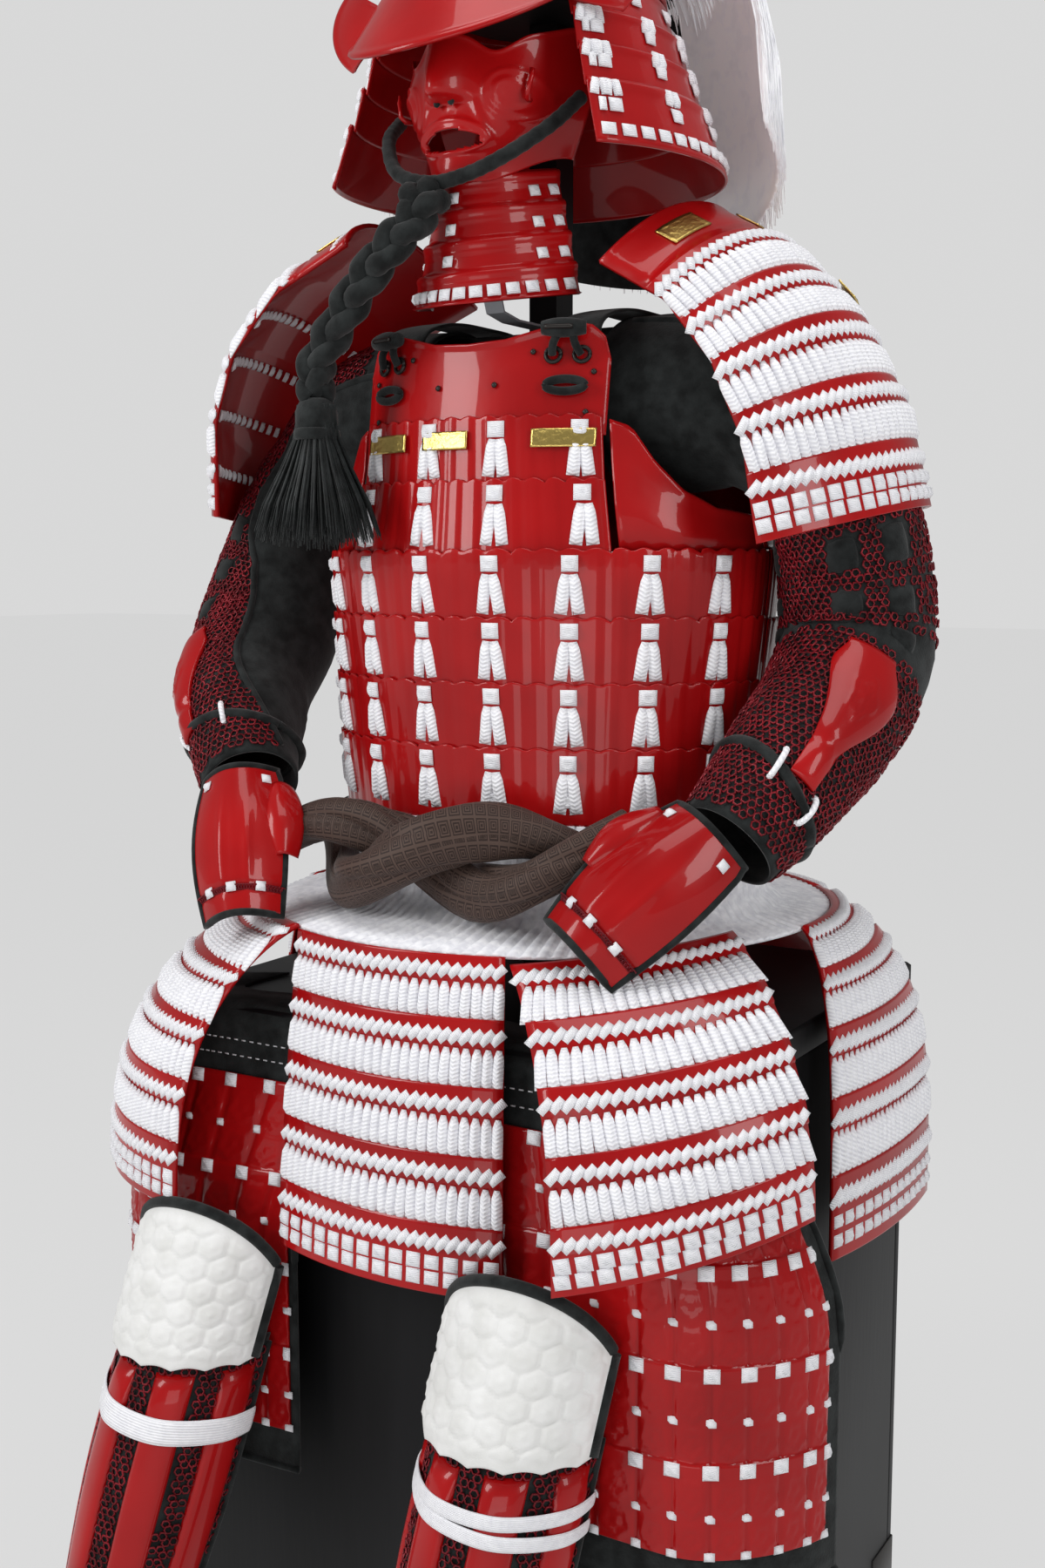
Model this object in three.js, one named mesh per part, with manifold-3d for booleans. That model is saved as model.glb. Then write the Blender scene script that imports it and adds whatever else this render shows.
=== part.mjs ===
// Samurai armour worn by no one, on its storage box: lacquered plates laced with white braid over
// black cloth. Millimetres, +Z up. The origin is on the floor under the middle of the box. The armour
// faces -Y, so its own left side is at +X.
import * as THREE from "three";
import { mergeVertices } from "three/addons/utils/BufferGeometryUtils.js";
import Module from "manifold-3d";

// Walls and seams
const PLATE = 1.8;
const CLOTH = 2.5;
const SEAM = 0.3;

// Storage box
const BOX = { width: 540, depth: 470, height: 632, board: 12, corner: 25, edge: 40 };
const LID = { overhang: 4, height: 28, edge: 14 };
const BOX_TOP = BOX.height + SEAM + LID.height;

// Stand: a post with a shoulder bar and a neck, and a plain round block inside the helmet
const POST = {
  width: 40, depth: 30, barHalf: 150, barLow: 1235, barTop: 1255, neckHalf: 14, neckTop: 1520,
};
const HEAD = { y: -40, halfWidth: 72, halfDepth: 84, low: POST.neckTop + SEAM, top: 1648.3 };

// Cuirass: half width and half depth of the body inside the plates, by height
const BODY = [
  { z: 724, a: 196, b: 150 },
  { z: 829, a: 201, b: 151 },
  { z: 1053, a: 213, b: 160 },
  { z: 1111, a: 196, b: 152 },
  { z: 1165, a: 187, b: 147 },
  { z: 1260, a: 178, b: 134 },
];
const ROWS_LOW = [1053, 997, 942, 887, 829];
const ROWS_HIGH = [1163, 1111, 1053];
const ROW_LAP = 8;
const LAP_OUT = 3.5;
const SIDE_SEAM = 0.05; // degrees left free on each side of a seam under the arm
const CHEST_HALF = 118;

// The head group is turned a little to the armour's right
const HEAD_TURN = -6;
const HELMET = { y: -40, a: 112, b: 130, rim: 1525, top: 1650 };

// Helper functions
const { degToRad, lerp, clamp, smoothstep } = THREE.MathUtils;
const V = (x, y, z) => new THREE.Vector3(x, y, z);
const sin = (degrees) => Math.sin(degToRad(degrees));
const cos = (degrees) => Math.cos(degToRad(degrees));
const even = (count, from = 0, to = 1) =>
  Array.from({ length: count + 1 }, (_, i) => from + ((to - from) * i) / count);
const bump = (t, middle, width) => Math.exp(-(((t - middle) / width) ** 2));

// The row of a table at a value of its key, with every other column worked out between two rows
function between(rows, key, at) {
  const up = rows[rows.length - 1][key] > rows[0][key];
  const sorted = up ? rows : [...rows].reverse();
  let i = 0;
  while (i < sorted.length - 2 && at > sorted[i + 1][key]) i++;
  const [low, high] = [sorted[i], sorted[i + 1]];
  const t = clamp((at - low[key]) / (high[key] - low[key]), 0, 1);
  return Object.fromEntries(Object.keys(low).map((name) => [name, lerp(low[name], high[name], t)]));
}

// One closed body from an outer and an inner grid of points
function shell(outer, inner, columns, rows, closed) {
  const points = [...outer, ...inner];
  const faces = [];
  const n = outer.length;
  const spans = closed ? columns : columns - 1;
  const at = (i, j) => j * columns + (i % columns);
  const quad = (a, b, c, d) => faces.push(a, b, c, a, c, d);
  for (let j = 0; j < rows - 1; j++) {
    for (let i = 0; i < spans; i++) {
      quad(at(i, j), at(i + 1, j), at(i + 1, j + 1), at(i, j + 1));
      quad(n + at(i, j), n + at(i, j + 1), n + at(i + 1, j + 1), n + at(i + 1, j));
    }
  }
  const last = rows - 1;
  for (let i = 0; i < spans; i++) {
    quad(n + at(i, 0), n + at(i + 1, 0), at(i + 1, 0), at(i, 0));
    quad(at(i, last), at(i + 1, last), n + at(i + 1, last), n + at(i, last));
  }
  const end = columns - 1;
  for (let j = 0; j < last && !closed; j++) {
    quad(at(0, j), at(0, j + 1), n + at(0, j + 1), n + at(0, j));
    quad(n + at(end, j), n + at(end, j + 1), at(end, j + 1), at(end, j));
  }
  return solid(points, faces);
}

// A geometry from points and faces, turned so that its faces point out
function solid(points, faces) {
  let volume = 0;
  for (let i = 0; i < faces.length; i += 3) {
    const [a, b, c] = [points[faces[i]], points[faces[i + 1]], points[faces[i + 2]]];
    volume += a.dot(b.clone().cross(c));
  }
  const index = volume < 0 ? faces.map((_, i) => faces[i - (i % 3) + (2 - (i % 3))]) : faces;
  const geometry = new THREE.BufferGeometry().setFromPoints(points);
  return geometry.setIndex(index);
}

// A wall: point(u, v) is its plain inner face, and relief(u, v) stands on its outer face.
// The outer face is the one turned away from the place `from`.
function wall({ us, vs, point, from, relief = () => 0, thickness = PLATE, closed = false }) {
  const h = 1e-3;
  const normal = (u, v) => {
    const across = point(u + h, v).sub(point(u - h, v));
    const down = point(u, v + h).sub(point(u, v - h));
    return across.cross(down).normalize();
  };
  const middle = [us[us.length >> 1], vs[vs.length >> 1]];
  const side = Math.sign(normal(...middle).dot(point(...middle).sub(from)));
  const inner = [];
  const outer = [];
  for (const v of vs) {
    for (const u of us) {
      const p = point(u, v);
      inner.push(p);
      outer.push(p.clone().addScaledVector(normal(u, v), side * (thickness + relief(u, v))));
    }
  }
  return shell(outer, inner, us.length, vs.length, closed);
}

// A closed body skinned over loops of points, with a flat end on the first and the last
function skin(loops) {
  const n = loops[0].length;
  const points = loops.flat();
  const faces = [];
  for (let j = 0; j < loops.length - 1; j++) {
    for (let i = 0; i < n; i++) {
      const [a, b] = [j * n + i, j * n + ((i + 1) % n)];
      faces.push(a, b, b + n, a, b + n, a + n);
    }
  }
  for (const [start, order] of [[0, -1], [(loops.length - 1) * n, 1]]) {
    const centre = new THREE.Vector3();
    for (let i = 0; i < n; i++) centre.addScaledVector(points[start + i], 1 / n);
    points.push(centre);
    for (let i = 0; i < n; i++) {
      const [a, b] = [start + i, start + ((i + 1) % n)];
      faces.push(points.length - 1, order > 0 ? a : b, order > 0 ? b : a);
    }
  }
  return solid(points, faces);
}

// Loops round a path: each has its own half width and half height, and lies square to the path
function loopsAlong(path, sections, sides, reference = V(0, 1, 0)) {
  return sections.map(({ at, wide, high }) => {
    const centre = path.getPoint(at);
    const tangent = path.getTangent(at);
    const across = tangent.clone().cross(reference).normalize();
    const up = across.clone().cross(tangent).normalize();
    return even(sides - 1, 0, 360 - 360 / sides).map((angle) =>
      centre
        .clone()
        .addScaledVector(across, wide * cos(angle))
        .addScaledVector(up, high * sin(angle)),
    );
  });
}

// A round cord along hand-placed points
function cord(points, diameter, stepsAlong, sides = 8) {
  const section = new THREE.Shape(
    even(sides - 1, 0, 360 - 360 / sides).map(
      (angle) => new THREE.Vector2((diameter / 2) * cos(angle), (diameter / 2) * sin(angle)),
    ),
  );
  const path = new THREE.CatmullRomCurve3(points.map((p) => V(...p)));
  return new THREE.ExtrudeGeometry(section, { extrudePath: path, steps: stepsAlong });
}

// Joins and cuts
const wasm = await Module();
wasm.setup();

function toManifold(geometry) {
  const bare = new THREE.BufferGeometry();
  bare.setAttribute("position", geometry.getAttribute("position"));
  bare.setIndex(geometry.getIndex());
  const merged = mergeVertices(bare, 1e-3);
  return new wasm.Manifold(
    new wasm.Mesh({
      numProp: 3,
      vertProperties: merged.getAttribute("position").array,
      triVerts: new Uint32Array(merged.getIndex().array),
    }),
  );
}

function fromManifold(made) {
  const mesh = made.getMesh();
  const geometry = new THREE.BufferGeometry();
  geometry.setAttribute("position", new THREE.BufferAttribute(mesh.vertProperties, 3));
  return geometry.setIndex(new THREE.BufferAttribute(mesh.triVerts, 1));
}

// Finishes
const finish = (color, roughness, metalness = 0) =>
  new THREE.MeshStandardMaterial({ color, roughness, metalness });
const redLacquer = finish(0xaa1414, 0.2);
const whiteLace = finish(0xebebf0, 0.8);
const blackCloth = finish(0x1e2322, 0.95);
const redMail = finish(0x78141e, 0.4, 0.6);
const brownBrocade = finish(0x4a3630, 0.8);
const blackWood = finish(0x141414, 0.35);
const whiteHair = finish(0xf0f0f2, 0.7);
const whiteQuilt = finish(0xe4e4e0, 0.85);
const greyStrap = finish(0x8c9094, 0.7);

const armour = new THREE.Group();
const headGroup = new THREE.Group();
headGroup.position.set(0, HELMET.y, 0);
headGroup.rotation.z = degToRad(HEAD_TURN);
armour.add(headGroup);

function add(name, geometry, material, group = armour) {
  const mesh = new THREE.Mesh(geometry, material);
  mesh.name = name;
  group.add(mesh);
}

// Storage box
function roundedLoop(width, depth, corner, z) {
  const loop = [];
  for (let quarter = 0; quarter < 4; quarter++) {
    const [sx, sy] = [quarter === 0 || quarter === 3 ? 1 : -1, quarter < 2 ? 1 : -1];
    for (const angle of even(3, 90 * quarter, 90 * quarter + 90)) {
      const x = sx * (width / 2 - corner) + corner * cos(angle);
      loop.push(V(x, sy * (depth / 2 - corner) + corner * sin(angle), z));
    }
  }
  return loop;
}

function boxBody() {
  const { width, depth, height, board, corner, edge } = BOX;
  const outside = [0, 30, 60, 90].map((angle) => {
    const inset = (edge / 2) * (1 - sin(angle));
    return roundedLoop(width - 2 * inset, depth - 2 * inset, corner, (edge / 2) * (1 - cos(angle)));
  });
  outside.push(roundedLoop(width, depth, corner, height));
  const inside = [height, board].map((z) =>
    roundedLoop(width - 2 * board, depth - 2 * board, corner - board, z),
  );
  return skin([...outside, ...inside]);
}

function boxLid() {
  const { overhang, height, edge } = LID;
  const [width, depth] = [BOX.width + 2 * overhang, BOX.depth + 2 * overhang];
  const low = BOX.height + SEAM;
  const rounding = [0, 45, 90].map((angle) => {
    const inset = edge * (1 - cos(angle));
    const z = low + height - edge * (1 - sin(angle));
    return roundedLoop(width - 2 * inset, depth - 2 * inset, BOX.corner, z);
  });
  return skin([roundedLoop(width, depth, BOX.corner, low), ...rounding]);
}

add("box_body", boxBody(), blackWood);
add("box_lid", boxLid(), blackWood);

// Stand
function standPost() {
  const { width, depth, barHalf, barLow, barTop, neckHalf, neckTop } = POST;
  const low = BOX_TOP + SEAM;
  const right = [
    [width / 2, low],
    [width / 2, barLow],
    [barHalf, barLow],
    [barHalf, barTop],
    [neckHalf, barTop],
    [neckHalf, neckTop],
  ];
  const left = [...right].reverse().map(([x, z]) => [-x, z]);
  const outline = new THREE.Shape([...right, ...left].map((p) => new THREE.Vector2(...p)));
  const geometry = new THREE.ExtrudeGeometry(outline, { depth, bevelEnabled: false });
  return geometry.rotateX(Math.PI / 2).translate(0, depth / 2, 0);
}

function standHead() {
  const { y, halfWidth, halfDepth, low, top } = HEAD;
  const profile = [0, 0.18, 0.45, 0.7, 0.88, 0.97];
  const middle = y - HELMET.y;
  return skin(
    profile.map((t) => {
      const reach = Math.sqrt(1 - t * t);
      const [across, along] = [halfWidth * reach, halfDepth * reach];
      const z = lerp(low, top, t);
      return even(15, 0, 337.5).map((angle) => V(across * cos(angle), middle + along * sin(angle), z));
    }),
  );
}

// Throat strap of the stand: a flat band from the shoulder bar up behind the throat guard
function neckStrap() {
  const [half, thick] = [9, 2];
  const route = [
    { z: POST.barTop + SEAM + thick, y: -POST.depth / 2 - SEAM },
    { z: POST.barTop + SEAM + thick, y: -70 },
    { z: 1262, y: -96 },
    { z: 1300, y: -112 },
    { z: 1342, y: -138 },
  ];
  return wall({
    us: [-half, half],
    vs: [0, 1, 2, 3, 4],
    point: (u, v) => {
      const row = between(route.map((r, i) => ({ i, ...r })), "i", v);
      return V(u, row.y, row.z);
    },
    from: V(0, -40, 1200),
    thickness: thick,
  });
}

add("stand_post", standPost(), blackWood);
add("stand_head", standHead(), blackWood, headGroup);
add("stand_neck_strap", neckStrap(), greyStrap);

// Cuirass
const body = (z) => between(BODY, "z", z);
const onBody = (angle, z, out) => {
  const { a, b } = body(z);
  return V((a + out) * sin(angle), -(b + out) * cos(angle), z);
};
const bodyMiddle = (z) => V(0, 0, z);

// One row of upright scales round a stretch of the body: ridges stand on its outer points
function scaleRow({ from, to, columns, high, low, lap = ROW_LAP, out = 0 }) {
  const top = high + lap;
  return wall({
    us: even(columns, from, to),
    vs: [0, 1],
    point: (u, v) => onBody(u, lerp(top, low, v), out + LAP_OUT * (1 - v)),
    from: bodyMiddle((high + low) / 2),
    relief: (u) => (Math.round(((u - from) / (to - from)) * columns) % 2 ? 0.9 : 0),
  });
}

// The chest plate's top edge, by distance from the middle
const CHEST_TOP = [
  { x: 0, z: 1231 },
  { x: 35, z: 1233 },
  { x: 62, z: 1240 },
  { x: 88, z: 1246 },
  { x: 104, z: 1243 },
  { x: 113, z: 1234 },
  { x: CHEST_HALF, z: 1215 },
];
function chestPlate() {
  const low = ROWS_HIGH[0] - 10;
  const out = -1.2;
  return wall({
    us: even(14, -1, 1),
    vs: [0, 0.12, 0.5, 1],
    point: (u, v) => {
      const x = CHEST_HALF * u;
      const z = lerp(between(CHEST_TOP, "x", Math.abs(x)).z, low, v);
      const { a, b } = body(z);
      return V(x, -(b + out) * Math.sqrt(1 - (x / (a + out)) ** 2), z);
    },
    from: bodyMiddle(1200),
    relief: (u, v) => (v === 0 ? 2 : 0),
  });
}

// The plates under the arms: their top edge falls in a curve from the chest to the side
const ARMHOLE = [
  { angle: 40, z: 1166 },
  { angle: 46, z: 1160 },
  { angle: 52, z: 1132 },
  { angle: 60, z: 1108 },
  { angle: 70, z: 1094 },
  { angle: 90, z: 1088 },
];
function sidePlate(side) {
  return wall({
    us: [40, 46, 52, 60, 70, 80, 90 - SIDE_SEAM].map((angle) => angle * side),
    vs: [0, 0.25, 1],
    point: (u, v) => {
      const top = between(ARMHOLE, "angle", Math.abs(u)).z;
      return onBody(u, lerp(top, ROWS_LOW[0] + 1, v), lerp(0.9, -1.3, v));
    },
    from: bodyMiddle(1100),
    relief: (u, v) => (v === 0 ? 1.2 : 0),
  });
}

// Levels of a wall that is stepped like a number of rows
const rowSteps = (count) =>
  even(count)
    .slice(0, -1)
    .flatMap((v) => [v, v + 1 / count - 0.004]);

// The chest: two rows below the plate, one stepped wall with a ridge on every other scale
function chestRows() {
  const count = ROWS_HIGH.length - 1;
  const columns = 14;
  const half = 38;
  const ridge = (u) => (Math.round(((u + half) / (2 * half)) * columns) % 2 ? 0.9 : 0);
  return wall({
    us: even(columns, -half, half),
    vs: rowSteps(count),
    point: (u, v) => onBody(u, lerp(ROWS_HIGH[0] + ROW_LAP, ROWS_HIGH[count], v), lerp(1.6, -1.2, v)),
    from: bodyMiddle(1110),
    relief: (u, v) => ((v * count) % 1 < 0.5 ? 2.2 : 0.2) + ridge(u),
  });
}

// The back: four rows below, one stepped wall, and a plate in two rows above
function backRows() {
  const count = ROWS_LOW.length - 1;
  return wall({
    us: even(14, 90 + SIDE_SEAM, 270 - SIDE_SEAM),
    vs: rowSteps(count),
    point: (u, v) => onBody(u, lerp(ROWS_LOW[0] + ROW_LAP, ROWS_LOW[count], v), 0.2),
    from: bodyMiddle(950),
    relief: (u, v) => ((v * count) % 1 < 0.5 ? 2.4 : 0.2),
  });
}

const BACK_TOP = [
  { angle: 0, z: 1262 },
  { angle: 36, z: 1262 },
  { angle: 44, z: 1225 },
  { angle: 55, z: 1140 },
  { angle: 68, z: 1100 },
  { angle: 90, z: 1086 },
];
function backPlate() {
  return wall({
    us: even(14, 90 + SIDE_SEAM, 270 - SIDE_SEAM),
    vs: [0, 0.08, 0.5, 0.52, 1],
    point: (u, v) => {
      const top = between(BACK_TOP, "angle", Math.abs(u - 180)).z;
      return onBody(u, lerp(top, ROWS_LOW[0] + ROW_LAP + SEAM, v), 0.2);
    },
    from: bodyMiddle(1150),
    relief: (u, v) => (v === 0 || v === 0.52 ? 1 : 0),
  });
}

add("chest_plate", chestPlate(), redLacquer);
add("chest_rows", chestRows(), redLacquer);
for (const [name, side] of [["left", 1], ["right", -1]]) {
  add("side_plate_" + name, sidePlate(side), redLacquer);
}
for (let i = 0; i < ROWS_LOW.length - 1; i++) {
  const [high, low] = [ROWS_LOW[i], ROWS_LOW[i + 1]];
  const row = { from: -89.85, to: 89.85, columns: 32, high, low, out: 0.2 };
  add("front_row_" + (i + 1), scaleRow(row), redLacquer);
}
add("back_rows", backRows(), redLacquer);
add("back_plate", backPlate(), redLacquer);

// Shoulder straps: from behind the chest plate, over the sleeve's cloth, to inside the back plate
const STRAP = { x: 88, half: 20 };
const STRAP_ROUTE = [
  { at: 0, y: -108.2, z: 1216 },
  { at: 1, y: -101, z: 1245 },
  { at: 2, y: -60, z: 1260 },
  { at: 3, y: 0, z: 1263 },
  { at: 4, y: 60, z: 1260 },
  { at: 5, y: 96, z: 1246 },
  { at: 6, y: 101, z: 1216 },
];
function shoulderStrap(side) {
  return wall({
    us: [-STRAP.half, 0, STRAP.half],
    vs: even(6, 0, 6),
    point: (u, v) => {
      const { y, z } = between(STRAP_ROUTE, "at", v);
      return V(side * STRAP.x + u, y, z);
    },
    from: V(side * STRAP.x, 0, 1100),
    thickness: 3,
  });
}

// Sleeves: cloth tubes, wide at the shoulder, bent at the elbow, closed in at the wrist
const SLEEVE_SIDES = 12;
const SLEEVES = {
  left: [
    { x: 92, y: -2, z: 1186, wide: 73.9, high: 88 },
    { x: 150, y: -2, z: 1186, wide: 73.9, high: 81 },
    { x: 204, y: 6, z: 1176, wide: 64, high: 76 },
    { x: 247, y: 16, z: 1140, wide: 56, high: 66 },
    { x: 273, y: 26, z: 1088, wide: 57, high: 70 },
    { x: 283, y: 34, z: 1030, wide: 60, high: 76 },
    { x: 286, y: 28, z: 976, wide: 62, high: 72 },
    { x: 284, y: -14, z: 930, wide: 60, high: 62 },
    { x: 272, y: -70, z: 888, wide: 55, high: 55 },
    { x: 259, y: -116, z: 852, wide: 48, high: 47 },
    { x: 246, y: -146, z: 826, wide: 41, high: 40 },
  ],
  right: [
    { x: 92, y: -2, z: 1186, wide: 73.9, high: 88 },
    { x: 150, y: -2, z: 1186, wide: 73.9, high: 81 },
    { x: 204, y: 2, z: 1176, wide: 60, high: 75 },
    { x: 248, y: 2, z: 1140, wide: 53, high: 64 },
    { x: 277, y: -6, z: 1088, wide: 57, high: 70 },
    { x: 292, y: -20, z: 1030, wide: 62, high: 72 },
    { x: 298, y: -46, z: 976, wide: 64, high: 68 },
    { x: 288, y: -84, z: 936, wide: 60, high: 60 },
    { x: 262, y: -124, z: 902, wide: 53, high: 54 },
    { x: 238, y: -152, z: 874, wide: 46, high: 46 },
    { x: 215.5, y: -173.5, z: 849, wide: 41.4, high: 40.2 },
  ],
};
function sleeveSurface(side, rows) {
  const path = new THREE.CatmullRomCurve3(rows.map(({ x, y, z }) => V(side * x, y, z)));
  const sized = rows.map((row, i) => ({ ...row, at: i / (rows.length - 1) }));
  return (angle, at) => {
    const { wide, high } = between(sized, "at", at);
    const t = clamp(at, 0, 1);
    const tangent = path.getTangent(t);
    const across = tangent.clone().cross(V(0, 1, 0)).normalize();
    const up = across.clone().cross(tangent).normalize();
    return path
      .getPoint(t)
      .addScaledVector(across, wide * cos(angle))
      .addScaledVector(up, high * sin(angle));
  };
}
// A sleeve is sewn from an upper arm and a forearm, which meet at the elbow
const ELBOW = { row: 5, seam: 0.0006 };
function sleevePart(side, rows, first, last) {
  const middle = rows[(first + last) >> 1];
  const count = rows.length - 1;
  const vs = even(last - first, first / count, last / count);
  if (first === ELBOW.row) vs[0] += ELBOW.seam;
  return wall({
    us: even(SLEEVE_SIDES - 1, 0, 360 - 360 / SLEEVE_SIDES),
    vs,
    point: sleeveSurface(side, rows),
    from: V(side * middle.x, middle.y, middle.z),
    thickness: CLOTH,
    closed: true,
  });
}
for (const [name, side] of [["left", 1], ["right", -1]]) {
  add("shoulder_strap_" + name, shoulderStrap(side), blackCloth);
  const rows = SLEEVES[name];
  add("sleeve_" + name, sleevePart(side, rows, 0, ELBOW.row), redMail);
  add("forearm_" + name, sleevePart(side, rows, ELBOW.row, rows.length - 1), redMail);
}

// Waist lacing: upright white strands between the cuirass and the skirt
const SHELF = 261.5 - CLOTH;
const WAIST = [
  { at: 0, z: ROWS_LOW[4] - SEAM, spread: 0 },
  { at: 1, z: 778, spread: 0.02 },
  { at: 2, z: 756, spread: 0.12 },
  { at: 3, z: 743, spread: 0.36 },
  { at: 4, z: 735, spread: 1 },
];
function waistLacing() {
  return wall({
    us: even(31, 0, 360 - 360 / 32),
    vs: even(4, 0, 4),
    point: (u, v) => {
      const { z, spread } = between(WAIST, "at", v);
      return onBody(u, z, -0.6).lerp(V(SHELF * sin(u), -SHELF * cos(u), z), spread);
    },
    from: bodyMiddle(770),
    relief: (u, v) => (v < 2.5 && Math.round(u / 11.25) % 2 ? 1.6 : 0),
    thickness: CLOTH,
    closed: true,
  });
}
add("waist_lacing", waistLacing(), whiteLace);

// Skirt: seven panels of five laced rows that hang over the edge of the box. `from` and `to` are
// the ends of a panel's top edge round the body. `lowX, lowY, lowZ` is the middle of its lower
// edge, `turn` the way that this edge faces, `half` half its length, `bow` how far its middle
// stands out from its ends, `bend` how soon it turns down, and `roll` how much it leans.
const SKIRT = [
  {
    name: "front", from: -25, to: 22.2, topZ: 737,
    lowX: 8, lowY: -300, lowZ: 472, turn: -2, half: 113, bow: 20, bend: 1.3, roll: 0,
  },
  {
    name: "front_left", from: 23, to: 65, topZ: 737,
    lowX: 282, lowY: -280, lowZ: 532, turn: 41, half: 103, bow: 20, bend: 2.2, roll: 13,
  },
  {
    name: "left", from: 86, to: 130, topZ: 737,
    lowX: 312, lowY: 76, lowZ: 452, turn: 86, half: 106, bow: 10, bend: 3.2, roll: 0,
  },
  {
    name: "back_left", from: 134, to: 175.5, topZ: 737,
    lowX: 156, lowY: 318, lowZ: 455, turn: 156, half: 102, bow: 18, bend: 3, roll: 0,
  },
  {
    name: "back_right", from: 184.5, to: 226, topZ: 737,
    lowX: -156, lowY: 318, lowZ: 455, turn: 204, half: 102, bow: 18, bend: 3, roll: 0,
  },
  {
    name: "right", from: 230, to: 274, topZ: 737,
    lowX: -312, lowY: 76, lowZ: 452, turn: -86, half: 106, bow: 10, bend: 3.2, roll: 0,
  },
  {
    name: "front_right", from: -57, to: -25.8, topZ: 737,
    lowX: -278, lowY: -284, lowZ: 502, turn: -33, half: 98, bow: 22, bend: 2.4, roll: 0,
  },
];
const SKIRT_ROWS = 5;
function skirtPoint(panel, u, v) {
  const out = 1 - (1 - clamp(v, 0, 1)) ** panel.bend;
  const down = clamp(v, 0, 1) ** (1 + (panel.bend - 1) / 6);
  const angle = lerp(panel.from, panel.to, (u + 1) / 2);
  const radius = SHELF + 4 * SEAM;
  const top = V(radius * sin(angle), -radius * cos(angle), panel.topZ);
  const low = V(panel.lowX, panel.lowY, panel.lowZ)
    .addScaledVector(V(cos(panel.turn), sin(panel.turn), 0), u * panel.half * cos(panel.roll))
    .addScaledVector(V(sin(panel.turn), -cos(panel.turn), 0), -panel.bow * u * u);
  const rise = u * panel.half * sin(panel.roll) * lerp(0.4, 1, v);
  return V(lerp(top.x, low.x, out), lerp(top.y, low.y, out), lerp(top.z, low.z, down) + rise);
}

// Levels of laced rows: the lacquered edge, then the lacing that stands out below it
const LACED = { edge: 0.3, step: 0.04, plate: 2.4, lace: 5 };
function lacedLevels(rows) {
  const levels = even(rows)
    .slice(0, -1)
    .map((v) => [v, v + LACED.edge / rows, v + (1 - LACED.step) / rows]);
  return [...levels.flat().slice(0, -1), 1];
}
function lacedRelief(rows) {
  return (u, v) => {
    const t = v === 1 ? 1 : (v * rows + 1e-6) % 1;
    if (t < LACED.edge / 2) return LACED.plate;
    return t < 0.5 ? LACED.lace : LACED.step;
  };
}
function skirtPanel(panel) {
  return wall({
    us: even(6, -1, 1),
    vs: lacedLevels(SKIRT_ROWS),
    point: (u, v) => skirtPoint(panel, u, v),
    from: V(0, 0, 600),
    relief: lacedRelief(SKIRT_ROWS),
  });
}
for (const panel of SKIRT) add("skirt_" + panel.name, skirtPanel(panel), whiteLace);

// Shoulder guards: a top plate and five laced rows, bent down over the sleeve
const GUARD_LINE = [
  { at: 0, x: 148, z: 1351 },
  { at: 0.25, x: 218, z: 1313 },
  { at: 0.5, x: 272, z: 1253 },
  { at: 0.75, x: 310, z: 1176 },
  { at: 1, x: 328, z: 1090 },
];
const GUARDS = {
  left: { side: 1, y: -8, yaw: 15, roll: 8, arc: 46, radius: 165, shiftX: 0, bulge: 0 },
  right: { side: -1, y: -30, yaw: 8, roll: -6, arc: 46, radius: 160, shiftX: 12, bulge: 24 },
};
const GUARD_ROWS = 6;
function guardPoint({ side, y, yaw, roll, arc, radius, shiftX, bulge }, u, v) {
  const here = between(GUARD_LINE, "at", clamp(v, 0, 1));
  const before = between(GUARD_LINE, "at", clamp(v - 0.12, 0, 1));
  const after = between(GUARD_LINE, "at", clamp(v + 0.12, 0, 1));
  const down = V(after.x - before.x, 0, after.z - before.z).normalize();
  const out = V(-down.z, 0, down.x);
  const angle = u * arc;
  const sink = radius * (1 - cos(angle));
  const local = V(0, radius * sin(angle), 0).addScaledVector(out, -sink);
  local.applyAxisAngle(V(1, 0, 0), degToRad(roll));
  local.applyAxisAngle(V(0, 0, 1), degToRad(-yaw * (0.4 + 0.6 * v)));
  const shift = shiftX * v + bulge * sin(180 * clamp(v, 0, 1));
  return V(side * (here.x + shift + local.x), y + local.y, here.z + local.z);
}
function shoulderGuard(guard) {
  return wall({
    us: even(8, -1, 1),
    vs: lacedLevels(GUARD_ROWS),
    point: (u, v) => guardPoint(guard, u, v),
    from: V(guard.side * 150, 0, 1150),
    relief: lacedRelief(GUARD_ROWS),
  });
}
for (const [name, guard] of Object.entries(GUARDS)) {
  add("shoulder_guard_" + name, shoulderGuard(guard), whiteLace);
}

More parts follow.
